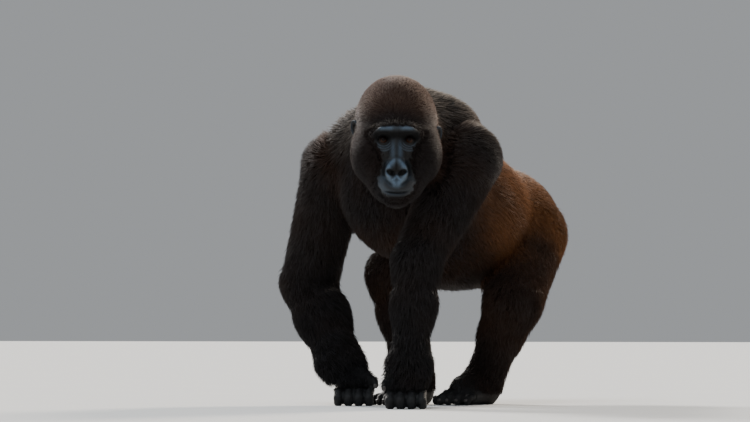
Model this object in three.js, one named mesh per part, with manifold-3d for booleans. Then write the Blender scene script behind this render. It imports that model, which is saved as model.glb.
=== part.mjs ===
// Adult female western lowland gorilla walking on its knuckles: a still, life-size model.
// Millimetres, +Z up. The gorilla faces -Y and its left side is +X. z = 0 is the ground.
//
// The body is one implicit form, smoothly blended from muscles and bones. Each sub-part is a
// sphere or a capsule wrapped onto that form about its own axis, parted from its neighbours by
// thin plane cuts. The surface is the outline of the coat, out to the tips of the hair.
import * as THREE from "three";
import { mergeVertices } from "three/addons/utils/BufferGeometryUtils.js";
import Module from "manifold-3d";

const wasm = await Module();
wasm.setup();

// ---------------------------------------------------------------- driving dimensions
const GAP = 0.4; // clearance between neighbouring pieces
const CUT_MARGIN = 14; // how far a wrap runs past a cut before it is trimmed
const EYE_SPAN = 68; // between the centres of the eyes
const EYE_RADIUS = 12.5;
const FINGER_PITCH = 28.6; // between neighbouring fingers
const FINGER_RADIUS = 13.9;
const SOLE_SINK = 3; // depth trimmed off at the ground, which leaves the small flats
// The middle of the box round the body, in the frame that the joints are given in.
const BOX_MIDDLE = { x: -53.9, y: 167.4 };

// Joints, with the ground below the middle of the shoulders as origin.
const JOINT = {
  shoulderR: [-212, 12, 660],
  shoulderL: [218, -10, 676],
  elbowR: [-340, 84, 345],
  elbowL: [171, -202, 395],
  wristR: [-190, 0, 122],
  wristL: [184, -268, 122],
  hipR: [-98, 509, 478],
  hipL: [132, 515, 480],
  kneeR: [-150, 242, 368],
  kneeL: [196, 304, 288],
  ankleR: [-76, 216, 92],
  ankleL: [100, 322, 82],
};
const EYES = [157, -291, 712]; // midway between the eyes
const FACE_TURN = 30; // degrees that the face is turned to the gorilla's left

// ---------------------------------------------------------------- small vector helpers
const rad = THREE.MathUtils.degToRad;
const clamp = THREE.MathUtils.clamp;
const vec = (p) => (p.isVector3 ? p.clone() : new THREE.Vector3(p[0], p[1], p[2]));
const mix = (a, b, t) => vec(a).lerp(vec(b), t);
const along = (a, b) => vec(b).sub(vec(a)).normalize();
const smooth = (a, b, x) => THREE.MathUtils.smoothstep(x, a, b);

// A frame: an origin with axes x (left), y (forward) and z (up), for building in place.
function makeFrame(origin, forward, up = [0, 0, 1]) {
  const y = vec(forward).normalize();
  const x = y.clone().cross(vec(up)).normalize().negate();
  const z = y.clone().cross(x).normalize();
  if (z.dot(vec(up)) < 0) z.negate();
  const o = vec(origin);
  return {
    o, x, y, z,
    at: (a, b, c) => o.clone().addScaledVector(x, a).addScaledVector(y, b).addScaledVector(z, c),
    dir: (a, b, c) => new THREE.Vector3().addScaledVector(x, a).addScaledVector(y, b).addScaledVector(z, c),
    local: (px, py, pz) => {
      const dx = px - o.x, dy = py - o.y, dz = pz - o.z;
      return [dx * x.x + dy * x.y + dz * x.z, dx * y.x + dy * y.y + dz * y.z, dx * z.x + dy * z.y + dz * z.z];
    },
  };
}
const turned = (degrees) => [Math.sin(rad(degrees)), -Math.cos(rad(degrees)), 0];
const HEAD = makeFrame(EYES, turned(FACE_TURN));

// ---------------------------------------------------------------- forms
// A form is a function of a point that gives the distance to its surface, negative inside.
const smoothMin = (a, b, k) => {
  const h = Math.max(k - Math.abs(a - b), 0) / k;
  return Math.min(a, b) - h * h * k * 0.25;
};

function blob(c, r, pitch = 0) {
  const [cx, cy, cz] = vec(c).toArray();
  const s = Math.sin(rad(pitch)), q = Math.cos(rad(pitch));
  return (x, y, z) => {
    const dy = y - cy, dz = z - cz;
    const u = (x - cx) / r[0], v = (q * dy + s * dz) / r[1], w = (q * dz - s * dy) / r[2];
    const k0 = Math.hypot(u, v, w), k1 = Math.hypot(u / r[0], v / r[1], w / r[2]);
    return k1 < 1e-9 ? -Math.min(...r) : (k0 * (k0 - 1)) / k1;
  };
}

function bone(a, b, ra, rb) {
  const [ax, ay, az] = vec(a).toArray();
  const [bx, by, bz] = vec(b).toArray();
  const dx = bx - ax, dy = by - ay, dz = bz - az;
  const n = dx * dx + dy * dy + dz * dz;
  return (x, y, z) => {
    const t = clamp(((x - ax) * dx + (y - ay) * dy + (z - az) * dz) / n, 0, 1);
    return Math.hypot(x - ax - t * dx, y - ay - t * dy, z - az - t * dz) - (ra + t * (rb - ra));
  };
}

// Forms joined with a blend of k at each seam.
const blend = (k, ...forms) => (x, y, z) => forms.reduce((d, f) => smoothMin(d, f(x, y, z), k), 1e4);
// Forms built in a frame, seen from outside it.
const inFrame = (frame, form) => (x, y, z) => form(...frame.local(x, y, z));

// ---------------------------------------------------------------- trunk, neck and head
const torso = blend(
  60,
  blob([0, 70, 618], [200, 215, 222]), // rib cage
  blob([14, 30, 748], [168, 150, 128]), // hump of the shoulders
  bone([8, 100, 648], [18, 500, 522], 168, 150), // back
  blob([6, 320, 518], [203, 235, 198]), // belly
  blob([22, 560, 500], [172, 195, 175]), // rump
  bone([-126, 26, 716], [128, 32, 746], 96, 100), // shoulder blades
  bone([30, -20, 735], HEAD.at(0, -95, 10), 130, 118), // neck and nape
);

// How deep the creases and holes of the face go in at a point of the head's frame.
const bump = (d, width) => Math.exp(-(d * d) / (width * width));
function faceDents(x, y, z) {
  if (y < 30) return 0;
  const ax = Math.abs(x);
  const nostril = 11 * bump(Math.hypot((ax - 13.5) / 1.35, z + 89), 7);
  const lips = 4.5 * bump(z + 142, 4) * (1 - smooth(30, 42, ax));
  const septum = 3.5 * bump(ax, 5) * bump(z + 76, 15);
  const socket = 9 * bump(Math.hypot((ax - 34) / 1.5, z + 1), 12);
  const ring = Math.hypot(ax / 34, (z + 88) / 38) - 1;
  const wing = 3 * bump(ring, 0.2) * smooth(40, 60, -z) * smooth(6, 16, ax);
  return smooth(30, 60, y) * (nostril + lips + septum + socket + wing);
}
const dented = (form, dents) => (x, y, z) => form(x, y, z) + dents(x, y, z);
// A form on the left of the head's middle plane and its mirror on the right.
const pair = (make) => [make(1), make(-1)];

const skull = blend(
  30,
  blob([0, -34, 62], [108, 118, 116]), // cranium
  ...pair((s) => blob([s * 60, -10, -34], [63, 80, 84])), // cheeks
  blob([0, 22, -108], [76, 78, 66]), // jaw
  blob([0, 32, 30], [66, 56, 34]), // forehead
  blob([0, 35, -16], [64, 48, 45]), // middle of the face
);
const muzzle = blend(
  22,
  blob([0, 60, -120], [54, 76, 48]),
  blob([0, 80, -160], [33, 34, 22]), // chin
  bone([0, 62, 14], [0, 98, -60], 13, 25), // bridge of the nose
);
const brow = blend(
  12,
  ...pair((s) => bone([0, 82, 24], [s * 36, 80, 27], 13.5, 13.5)),
  ...pair((s) => bone([s * 36, 80, 27], [s * 60, 60, 12], 13, 8)),
);
const nose = blend(
  7,
  ...pair((s) => blob([s * 17.5, 113, -91], [15, 27, 28])), // wings
  blob([0, 113, -70], [15, 23, 22]), // tip
);
const lids = blend(
  6,
  ...pair((s) => bone([s * 24, 72, -12], [s * 44, 66, -10], 8, 7)),
  bone([-26, 112, -151], [26, 112, -151], 9, 9), // lower lip
);
const head = inFrame(HEAD, dented(blend(9, blend(16, skull, muzzle), brow, nose, lids), faceDents));

// ---------------------------------------------------------------- arms
const armForm = (shoulder, elbow, wrist, [rs, re, rm, rw]) => blend(
  30,
  bone(shoulder, elbow, rs, re),
  bone(elbow, mix(elbow, wrist, 0.45), re * 0.97, rm),
  bone(mix(elbow, wrist, 0.4), wrist, rm, rw),
);
const armR = armForm(JOINT.shoulderR, JOINT.elbowR, JOINT.wristR, [94, 82, 77, 62]);
const armL = armForm(JOINT.shoulderL, JOINT.elbowL, JOINT.wristL, [100, 70, 61, 47]);

// A hand's frame: on the ground below the row of knuckles, its back facing forward.
const HAND_R = makeFrame([-122, -36, 0], turned(26));
const HAND_L = makeFrame([193, -298, 0], turned(24));
const palmForm = (frame, wrist, side) => {
  const w = frame.local(...wrist);
  return inFrame(frame, blend(
    20,
    bone([w[0] - side * 22, w[1], w[2] - 4], [-side * 34, -2, 66], 30, 20),
    bone([w[0], w[1] + 4, w[2] - 4], [0, 0, 66], 33, 22),
    bone([w[0] + side * 22, w[1], w[2] - 4], [side * 34, -2, 66], 30, 20),
  ));
};
const palmR = palmForm(HAND_R, JOINT.wristR, -1);
const palmL = palmForm(HAND_L, JOINT.wristL, 1);

// ---------------------------------------------------------------- legs
const legForm = (hip, knee, ankle, [rh, rk, rc, ra]) => blend(
  30,
  bone(hip, knee, rh, rk),
  bone(knee, mix(knee, ankle, 0.4), rk * 0.92, rc),
  bone(mix(knee, ankle, 0.35), ankle, rc, ra),
);
const legR = legForm(JOINT.hipR, JOINT.kneeR, JOINT.ankleR, [118, 86, 70, 60]);
const legL = legForm(JOINT.hipL, JOINT.kneeL, JOINT.ankleL, [118, 86, 66, 56]);

// A foot's frame: on the ground below the ankle, pointing to the toes.
const FOOT_R = makeFrame([-62, 200, 0], [-0.04, -1, 0]);
const FOOT_L = makeFrame([82, 308, 0], [-0.06, -1, 0]);
const footForm = (frame, side) => inFrame(frame, blend(
  24,
  blob([0, -26, 32], [36, 40, 36]), // heel
  bone([side * 6, -6, 60], [-side * 2, 78, 50], 44, 33), // instep
  bone([side * 6, -20, 28], [side * 27, 100, 22], 30, 23), // outer edge
  bone([0, -20, 28], [-side * 12, 102, 26], 30, 25), // inner edge
  bone([-side * 8, 0, 28], [-side * 42, 62, 22], 28, 21), // root of the great toe
));
const footR = footForm(FOOT_R, -1);
const footL = footForm(FOOT_L, 1);

const body = blend(26, torso, head, armR, armL, palmR, palmL, legR, legL, footR, footL);

// ---------------------------------------------------------------- solids
function toSolid(geometry) {
  const g = geometry.clone();
  g.deleteAttribute("normal");
  g.deleteAttribute("uv");
  const m = mergeVertices(g, 1e-3);
  return new wasm.Manifold(new wasm.Mesh({
    numProp: 3,
    vertProperties: new Float32Array(m.attributes.position.array),
    triVerts: new Uint32Array(m.index.array),
  }));
}

function toGeometry(solid) {
  const m = solid.getMesh();
  const g = new THREE.BufferGeometry();
  g.setAttribute("position", new THREE.BufferAttribute(new Float32Array(m.vertProperties), 3));
  g.setIndex(new THREE.BufferAttribute(new Uint32Array(m.triVerts), 1));
  g.computeVertexNormals();
  return g;
}

// A cut is a plane through `point`; its normal points from the first piece to the second.
const cut = (point, normal) => ({ p: vec(point), n: vec(normal).normalize() });
const flip = (c) => ({ p: c.p, n: c.n.clone().negate() });

// Everything beyond a cut, less the clearance, as one great block.
const SLAB = 3000;
function beyond({ p, n }, clearance = GAP / 2) {
  const box = new THREE.BoxGeometry(SLAB, SLAB, SLAB);
  box.translate(0, 0, SLAB / 2);
  box.applyQuaternion(new THREE.Quaternion().setFromUnitVectors(new THREE.Vector3(0, 0, 1), n));
  const at = p.clone().addScaledVector(n, -clearance);
  box.translate(at.x, at.y, at.z);
  return toSolid(box);
}
// A limit is one cut, or a list of cuts that bound a wedge: what lies beyond them all is lost.
const limits = (list) => list.map((c) => (Array.isArray(c) ? c : [c]));
const trim = (solid, cuts) => solid.subtract(
  cuts.map((c) => beyond(c, c === GROUND ? 0 : GAP / 2)).reduce((a, b) => a.intersect(b)));
const trimAll = (solid, list) => biggest(limits(list).reduce(trim, solid));
const biggest = (solid) => solid.decompose().reduce((a, b) => (b.volume() > a.volume() ? b : a));
const GROUND = cut([0, 0, 0], [0, 0, -1]);

// The form's surface along a ray from inside, no farther than the margin past any limit.
function reach(form, from, dir, list, longest = 420) {
  let far = longest;
  for (const cuts of limits(list)) {
    let enter = 0;
    let leave = longest;
    for (const { p, n } of cuts) {
      const rate = dir.dot(n);
      const room = p.clone().sub(from).dot(n) + CUT_MARGIN;
      if (Math.abs(rate) < 1e-6) { if (room > 0) enter = longest; }
      else if (rate > 0) enter = Math.max(enter, room / rate);
      else leave = Math.min(leave, room / rate);
    }
    if (enter < leave) far = Math.min(far, Math.max(enter, 0));
  }
  const value = (t) => form(from.x + dir.x * t, from.y + dir.y * t, from.z + dir.z * t);
  let a = 0;
  const step = 6;
  while (a + step < far && value(a + step) < 0) a += step;
  let b = Math.min(a + step, far);
  if (value(b) < 0) return b;
  for (let i = 0; i < 18; i++) {
    const m = (a + b) / 2;
    if (value(m) < 0) a = m; else b = m;
  }
  return (a + b) / 2;
}

// A capsule laid from one point to another and wrapped onto a form, then trimmed by its cuts.
// Where an end lies on a cut, the rings lean over until the last of them lies in that cut.
function wrap(form, path, list, { around = 18, rings = 8, caps = 3 } = {}) {
  const L = 10;
  const capsule = new THREE.CapsuleGeometry(1, L, caps, around, rings);
  const [start, end] = path.map(vec);
  const axis = along(start, end);
  const leanAt = (point) => {
    const c = list.flat().find(({ p, n }) => Math.abs(p.clone().sub(point).dot(n)) < 2);
    if (!c) return axis.clone();
    return c.n.clone().multiplyScalar(Math.sign(c.n.dot(axis)));
  };
  const leans = [leanAt(start), leanAt(end)];
  const q = new THREE.Quaternion().setFromUnitVectors(new THREE.Vector3(0, 1, 0), axis);
  const pos = capsule.attributes.position;
  const v = new THREE.Vector3();
  for (let i = 0; i < pos.count; i++) {
    v.fromBufferAttribute(pos, i);
    const y = clamp(v.y, -L / 2, L / 2);
    const t = y / L + 0.5;
    const from = start.clone().lerp(end, t);
    const lean = leans[0].clone().lerp(leans[1], t).normalize();
    v.y -= y;
    const dir = v.clone().normalize().applyQuaternion(q);
    const flat = dir.clone().addScaledVector(axis, -dir.dot(axis));
    dir.addScaledVector(axis, -flat.dot(lean) / axis.dot(lean)).normalize();
    const far = reach(form, from, dir, list);
    v.copy(from).addScaledVector(dir, far);
    pos.setXYZ(i, v.x, v.y, v.z);
  }
  return trimAll(toSolid(capsule), list);
}

// The head: a capsule about an upright axis, with its meridians crowded towards the front and
// its rings towards the face.
function wrapHead(form, frame, low, high, list, { around, rings, caps, crowd }) {
  const L = 10;
  const capsule = new THREE.CapsuleGeometry(1, L, caps, around, rings);
  const pos = capsule.attributes.position;
  const v = new THREE.Vector3();
  for (let i = 0; i < pos.count; i++) {
    v.fromBufferAttribute(pos, i);
    const y = clamp(v.y, -L / 2, L / 2);
    const t = y / L + 0.5;
    const up = THREE.MathUtils.lerp(low, high, Math.pow(t, 1.25));
    const flat = Math.hypot(v.x, v.z);
    const angle = Math.atan2(v.x, v.z); // 0 at the front
    const bent = angle - crowd * Math.sin(angle);
    const from = frame.at(0, 0, up);
    const dir = frame.dir(flat * Math.sin(bent), flat * Math.cos(bent), v.y - y).normalize();
    const far = reach(form, from, dir, list);
    v.copy(from).addScaledVector(dir, far);
    pos.setXYZ(i, v.x, v.y, v.z);
  }
  return trimAll(toSolid(capsule), list);
}

// A round rod swept along a path, its radius running through `radii`: fingers and toes.
function sweep(path, radii, side, { around = 8, rings = 8, caps = 2, grow = 0, flat = 1 } = {}) {
  const L = 10;
  const rod = new THREE.CapsuleGeometry(1, L, caps, around, rings);
  const curve = new THREE.CatmullRomCurve3(path.map(vec), false, "centripetal");
  const x = vec(side).normalize();
  const pos = rod.attributes.position;
  const v = new THREE.Vector3();
  for (let i = 0; i < pos.count; i++) {
    v.fromBufferAttribute(pos, i);
    const y = clamp(v.y, -L / 2, L / 2);
    const t = y / L + 0.5;
    const s = t * (radii.length - 1);
    const j = Math.min(Math.floor(s), radii.length - 2);
    const r = THREE.MathUtils.lerp(radii[j], radii[j + 1], s - j) + grow;
    const tangent = curve.getTangent(t);
    const across = x.clone().addScaledVector(tangent, -x.dot(tangent)).normalize();
    const normal = across.clone().cross(tangent);
    const p = curve.getPoint(t)
      .addScaledVector(across, v.x * r)
      .addScaledVector(tangent, (v.y - y) * r)
      .addScaledVector(normal, v.z * r * flat);
    pos.setXYZ(i, p.x, p.y, p.z);
  }
  return toSolid(rod);
}

// A ball of half-sizes r set in a frame.
function ballAt(frame, c, r, grow = 0, around = 12, rings = 8) {
  const g = new THREE.SphereGeometry(1, around, rings);
  g.rotateX(Math.PI / 2);
  g.scale(r[0] + grow, r[1] + grow, r[2] + grow);
  g.applyMatrix4(new THREE.Matrix4().makeBasis(frame.x.clone().negate(), frame.y, frame.z));
  const o = frame.at(...c);
  g.translate(o.x, o.y, o.z);
  return toSolid(g);
}

// ---------------------------------------------------------------- cuts between the pieces
const bend = (a, b, c) => cut(b, along(a, b).add(along(b, c)));
const CUT = {
  headNeck: cut(HEAD.at(0, -78, 0), HEAD.dir(0, -0.91, -0.41)), // head to neck
  chestNeck: cut([35, -78, 735], [0.35, -0.85, 0.38]),
  chestArmR: cut([-158, 15, 650], [-0.97, 0.1, -0.2]),
  chestArmL: cut([152, -10, 660], [0.85, -0.45, -0.1]),
  neckArmL: cut([182, -110, 664], [0.95, 0.05, -0.3]),
  chestBelly: cut([0, 215, 560], [0, 1, -0.12]),
  bellyRump: cut([14, 430, 520], [0, 1, 0.1]),
  hipL: cut([140, 480, 455], along(JOINT.hipL, JOINT.kneeL)),
  hipR: cut([-104, 470, 462], along(JOINT.hipR, JOINT.kneeR)),
  bellyThighL: cut([118, 330, 388], [0.65, 0.44, -0.75]),
  bellyThighR: cut([-150, 300, 498], [-0.75, 0.2, -0.6]),
  midline: cut([18, 500, 480], [1, 0, 0]), // right to left
  armRBack: cut([-215, 122, 600], [-0.6, -0.8, 0]),
  elbowR: bend(JOINT.shoulderR, JOINT.elbowR, JOINT.wristR),
  elbowL: bend(JOINT.shoulderL, JOINT.elbowL, JOINT.wristL),
  wristR: bend(JOINT.elbowR, JOINT.wristR, HAND_R.at(0, 0, 60)),
  wristL: bend(JOINT.elbowL, JOINT.wristL, HAND_L.at(0, 0, 60)),
  kneeR: bend(JOINT.hipR, JOINT.kneeR, JOINT.ankleR),
  kneeL: bend(JOINT.hipL, JOINT.kneeL, JOINT.ankleL),
  ankleR: cut(JOINT.ankleR, along(JOINT.kneeR, JOINT.ankleR)),
  ankleL: cut(JOINT.ankleL, along(JOINT.kneeL, JOINT.ankleL)),
};
// The wedges that the arms and thighs fill.
const ARM_L = [CUT.chestArmL, CUT.neckArmL];
const ARM_R = [CUT.chestArmR, CUT.armRBack];
const THIGH_L = [CUT.hipL, CUT.bellyThighL];
const THIGH_R = [CUT.hipR, CUT.bellyThighR];

// ---------------------------------------------------------------- the group
const COAT = { color: 0x2a2320, roughness: 0.85, metalness: 0 };
const COAT_BACK = { color: 0x4a3526, roughness: 0.85, metalness: 0 };
const CROWN = { color: 0x4b3328, roughness: 0.85, metalness: 0 };
const SKIN = { color: 0x23242a, roughness: 0.55, metalness: 0 };
const NAIL = { color: 0x3a3433, roughness: 0.4, metalness: 0 };
const EYE = { color: 0x1c0f0a, roughness: 0.08, metalness: 0 };

const gorilla = new THREE.Group();
function place(name, solid, look) {
  const mesh = new THREE.Mesh(toGeometry(solid), new THREE.MeshStandardMaterial(look));
  mesh.name = name;
  mesh.position.set(-BOX_MIDDLE.x, -BOX_MIDDLE.y, 0);
  gorilla.add(mesh);
}

// Head, with the eyes and the ears let into it.
const eyeAt = (side) => [side * EYE_SPAN / 2, 71, -2];
const eye = (side, grow = 0) =>
  ballAt(HEAD, eyeAt(side), [EYE_RADIUS, EYE_RADIUS, EYE_RADIUS], grow, 10, 7);

// An ear: a shell with a rolled rim and a hollow, on the side of the head.
const EAR = { left: makeFrame(HEAD.at(106, -22, 18), HEAD.dir(0.75, 0.62, -0.1)),
  right: makeFrame(HEAD.at(-108, -22, 34), HEAD.dir(-0.75, 0.62, -0.1)) };
function ear(frame, grow = 0) {
  const g = new THREE.SphereGeometry(1, 10, 7);
  g.rotateX(Math.PI / 2);
  const pos = g.attributes.position;
  const v = new THREE.Vector3();
  for (let i = 0; i < pos.count; i++) {
    v.fromBufferAttribute(pos, i);
    const w = Math.hypot(v.x, v.z);
    const bowl = v.y > 0 ? 6.5 * (1 - smooth(0.45, 0.85, w)) : 0;
    const p = frame.at(-v.x * (16 + grow), v.y * (7 + grow) - bowl, v.z * (22 + grow));
    pos.setXYZ(i, p.x, p.y, p.z);
  }
  return toSolid(g);
}

let headSolid = wrapHead(body, HEAD, -146, 76, [CUT.headNeck],
  { around: 32, rings: 20, caps: 4, crowd: 0.5 });
for (const side of [1, -1]) headSolid = headSolid.subtract(eye(side, GAP));
for (const side of ["left", "right"]) headSolid = headSolid.subtract(ear(EAR[side], GAP * 2));
place("head", biggest(headSolid), CROWN);
place("eye_left", eye(1), EYE);
place("eye_right", eye(-1), EYE);
place("ear_left", ear(EAR.left), SKIN);
place("ear_right", ear(EAR.right), SKIN);

// Trunk.
const piece = (name, path, list, look, detail) => place(name, wrap(body, path, list, detail), look);
piece("neck", [CUT.chestNeck.p, CUT.headNeck.p], [flip(CUT.headNeck), flip(CUT.chestNeck), ARM_L],
  COAT_BACK, { around: 24, rings: 2, caps: 3 });
piece("chest", [CUT.chestBelly.p, [20, -40, 725]], [CUT.chestNeck, ARM_R, ARM_L, CUT.chestBelly,
  THIGH_R],
  COAT, { around: 24, rings: 5, caps: 3 });
piece("belly", [[4, 212, 535], CUT.bellyRump.p], [flip(CUT.chestBelly), CUT.bellyRump, ARM_R,
  THIGH_L, THIGH_R], COAT, { around: 24, rings: 4, caps: 2 });
piece("rump", [CUT.bellyRump.p, [20, 590, 515]], [flip(CUT.bellyRump), THIGH_L, THIGH_R], COAT_BACK,
  { around: 24, rings: 4, caps: 4 });

// Limbs.
const limb = { around: 16, rings: 5, caps: 2 };
piece("upper_arm_right", [JOINT.shoulderR, JOINT.elbowR], [...ARM_R.map(flip), CUT.elbowR], COAT,
  { around: 16, rings: 5, caps: 3 });
piece("upper_arm_left", [JOINT.shoulderL, JOINT.elbowL], [...ARM_L.map(flip), flip(CUT.headNeck),
  CUT.elbowL], COAT, { around: 16, rings: 5, caps: 3 });
piece("forearm_right", [JOINT.elbowR, JOINT.wristR], [flip(CUT.elbowR), CUT.wristR], COAT, limb);
piece("forearm_left", [JOINT.elbowL, JOINT.wristL], [flip(CUT.elbowL), CUT.wristL], COAT, limb);
piece("thigh_right", [CUT.hipR.p, JOINT.kneeR], [...THIGH_R.map(flip), CUT.kneeR, CUT.midline], COAT_BACK,
  { around: 16, rings: 6, caps: 2 });
piece("thigh_left", [CUT.hipL.p, JOINT.kneeL], [...THIGH_L.map(flip), CUT.kneeL,
  flip(CUT.midline)], COAT_BACK,
  { around: 16, rings: 6, caps: 2 });
piece("shank_right", [JOINT.kneeR, JOINT.ankleR], [flip(CUT.kneeR), CUT.ankleR, flip(CUT.bellyThighR)],
  COAT_BACK, limb);
piece("shank_left", [JOINT.kneeL, JOINT.ankleL], [flip(CUT.kneeL), CUT.ankleL], COAT_BACK, limb);

// A nail: a small curved plate let into the end of a toe or thumb.
function nail(frame, size, grow = 0) {
  const g = new THREE.BoxGeometry(2 * (size[0] + grow), 2 * (size[1] + grow), 2 * (size[2] + grow));
  g.applyMatrix4(new THREE.Matrix4().makeBasis(frame.x.clone().negate(), frame.y, frame.z));
  g.translate(frame.o.x, frame.o.y, frame.o.z);
  return toSolid(g);
}
// A digit with its nail: the nail sits in a pocket of its own shape.
function digit(name, rod, frame, size, look = SKIN) {
  place(name, biggest(rod.subtract(nail(frame, size, GAP))), look);
  place(`nail_${name}`, nail(frame, size), NAIL);
}

// Hands, on the backs of the curled fingers, with the palms facing back.
for (const [side, name, frame, wrist, wristCut] of [
  [-1, "right", HAND_R, JOINT.wristR, CUT.wristR], [1, "left", HAND_L, JOINT.wristL, CUT.wristL]]) {
  const mid = frame.local(...wrist);
  const palmEnd = cut(frame.at(0, 0, 50), [0, 0, -1]);
  const thumbRoot = cut(frame.at(THREE.MathUtils.lerp(mid[0], 0, 0.6) - side * 46, -6,
    THREE.MathUtils.lerp(mid[2], 66, 0.6)), frame.dir(-side, 0, -0.45));
  piece(`hand_${name}`, [wrist, frame.at(mid[0] * 0.1, 0, 50)], [flip(wristCut), palmEnd, thumbRoot],
    SKIN, { around: 14, rings: 3, caps: 2 });
  for (let i = 0; i < 4; i++) { // index to little finger
    const x = side * (i - 1.5) * FINGER_PITCH;
    const size = [0.95, 1, 0.98, 0.88][i];
    const r = FINGER_RADIUS * size;
    const path = [[x, -6, 42], [x, 16, 36], [x, 33 * size, 22], [x, 26 * size, r - SOLE_SINK],
      [x, 6, r - SOLE_SINK], [x, -14 * size, r - SOLE_SINK + 1], [x, -24 * size, 20]];
    const rod = sweep(path.map((q) => frame.at(...q)), [r * 0.98, r, r, r * 0.97, r * 0.9, r * 0.78],
      frame.x, { around: 6, rings: 5 });
    place(`finger_${name}_${i + 2}`, trimAll(rod, [GROUND, flip(palmEnd)]), SKIN);
  }
  // The thumb lies along the inner edge of the palm and ends beside the knuckles.
  const edge = (t, out, front) => frame.at(THREE.MathUtils.lerp(mid[0], 0, Math.min(t, 1)) - side * out,
    front, THREE.MathUtils.lerp(mid[2], 66, t));
  const bones = [edge(0.3, 40, -8), edge(0.65, 52, -6), edge(0.95, 58, 0), edge(1.15, 60, 8)];
  const thumb = sweep(bones, [12.5, 12, 11.5, 10], frame.x, { around: 6, rings: 3 });
  const thumbFrame = makeFrame(bones[3].clone().add(frame.dir(0, 9.5, -3)), frame.dir(0, 1, 0.1));
  digit(`thumb_${name}`, trimAll(thumb, [flip(thumbRoot)]), thumbFrame, [5.5, 2, 6]);
}

// Feet, flat on the soles, with the great toe standing out to the inside.
for (const [side, name, frame, ankle, ankleCut] of [
  [-1, "right", FOOT_R, JOINT.ankleR, CUT.ankleR], [1, "left", FOOT_L, JOINT.ankleL, CUT.ankleL]]) {
  const toeEnd = cut(frame.at(side * 8, 112, 10), frame.dir(side * 0.12, 1, 0));
  const hallux = cut(frame.at(-side * 42, 62, 10), frame.dir(-side * 0.75, 0.66, 0));
  const heel = frame.local(...ankle);
  piece(`foot_${name}`, [ankle, frame.at(heel[0] * 0.5, 44, 30)], [flip(ankleCut), toeEnd, hallux, GROUND],
    SKIN, { around: 18, rings: 2, caps: 3 });
  for (let i = 0; i < 4; i++) { // second to fifth toe
    const x = side * (-25 + i * 24.6);
    const r = [11.9, 11.5, 11.2, 10.8][i];
    const len = [52, 54, 48, 40][i];
    const y = 106 - i * 2.5;
    const path = [[x, y - 4, 30 - i * 2.5], [x, y + len * 0.4, 32 - i * 3], [x, y + len * 0.8, 22 - i],
      [x, y + len, r - SOLE_SINK]].map((q) => frame.at(...q));
    const rod = sweep(path, [r, r * 1.04, r, r * 0.92], frame.x, { around: 6, rings: 3 });
    digit(`toe_${name}_${i + 2}`, trimAll(rod, [GROUND, flip(toeEnd)]),
      makeFrame(frame.at(x, y + len + 8, r + 3), frame.dir(0, 1, 0.5)), [5, 1.8, 4.2]);
  }
  const out = frame.dir(-side * 0.66, 0.75, 0);
  const big = [0, 22, 44, 62].map((t) => frame.at(-side * 36, 50, 0).addScaledVector(out, t));
  [22, 19, 16, 13].forEach((h, i) => { big[i].z = h - (i === 3 ? 2 : 0); });
  const across = out.clone().cross(new THREE.Vector3(0, 0, 1));
  digit(`toe_${name}_1`, trimAll(sweep(big, [18, 16.5, 15.5, 13.5], across, { around: 7, rings: 3 }),
    [GROUND, flip(hallux)]), makeFrame(big[3].clone().addScaledVector(out, 6).setZ(22),
    out.clone().setZ(1.4)), [6.5, 2, 6]);
}

export default gorilla;
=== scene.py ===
"""Adult female gorilla walking on its knuckles: a life-size still model in skin and coat.

The flesh is one smooth form blended from muscles and bones. One skin follows it, inside the
outline by the coat's depth, and tufts of fur stand on the skin and end at the outline.
Forms are given in millimetres from the ground below the shoulders, with x to the gorilla's
left, y to its tail and z up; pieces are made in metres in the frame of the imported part.
"""
import logging
import math
from dataclasses import dataclass, field
from enum import Enum
from functools import cached_property
from typing import Any, Callable, Iterable, Sequence

import bmesh
import bpy
import numpy as np
from mathutils import Matrix, Vector


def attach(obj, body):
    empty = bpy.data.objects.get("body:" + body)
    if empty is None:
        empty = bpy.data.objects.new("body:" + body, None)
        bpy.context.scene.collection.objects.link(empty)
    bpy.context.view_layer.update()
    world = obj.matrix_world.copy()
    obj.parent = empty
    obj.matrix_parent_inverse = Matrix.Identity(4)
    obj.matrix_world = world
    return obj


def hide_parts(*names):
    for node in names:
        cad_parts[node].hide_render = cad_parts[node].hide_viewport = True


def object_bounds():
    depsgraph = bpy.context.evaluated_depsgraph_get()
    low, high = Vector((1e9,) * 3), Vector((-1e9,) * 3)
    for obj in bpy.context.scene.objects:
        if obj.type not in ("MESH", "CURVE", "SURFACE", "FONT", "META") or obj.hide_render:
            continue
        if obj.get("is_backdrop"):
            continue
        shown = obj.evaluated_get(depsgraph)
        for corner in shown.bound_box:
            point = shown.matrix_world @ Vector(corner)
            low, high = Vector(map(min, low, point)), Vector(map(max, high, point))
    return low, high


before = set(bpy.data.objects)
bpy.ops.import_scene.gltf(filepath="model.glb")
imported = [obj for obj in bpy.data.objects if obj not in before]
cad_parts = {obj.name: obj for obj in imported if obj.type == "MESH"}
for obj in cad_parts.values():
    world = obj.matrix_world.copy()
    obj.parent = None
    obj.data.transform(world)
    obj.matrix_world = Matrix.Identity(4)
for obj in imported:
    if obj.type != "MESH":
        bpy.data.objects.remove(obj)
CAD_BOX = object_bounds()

log = logging.getLogger("gorilla")
logging.basicConfig(level=logging.INFO, format="%(name)s: %(message)s")

Array = np.ndarray
Form = Callable[[Array], Array]  # the distance to a shape at points, negative inside
Lie = Callable[[Array, Array], Array]  # the way that fur lies, from points and the way out there
Point = Sequence[float]

MM = 0.001
BODY = "root"
ORIGIN_SHIFT = np.array([53.9, -167.4, 0.0])  # from below the shoulders to the part's origin
UP = np.array([0.0, 0.0, 1.0])
FAR = 1e3  # stands for "nowhere near", in millimetres


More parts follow.
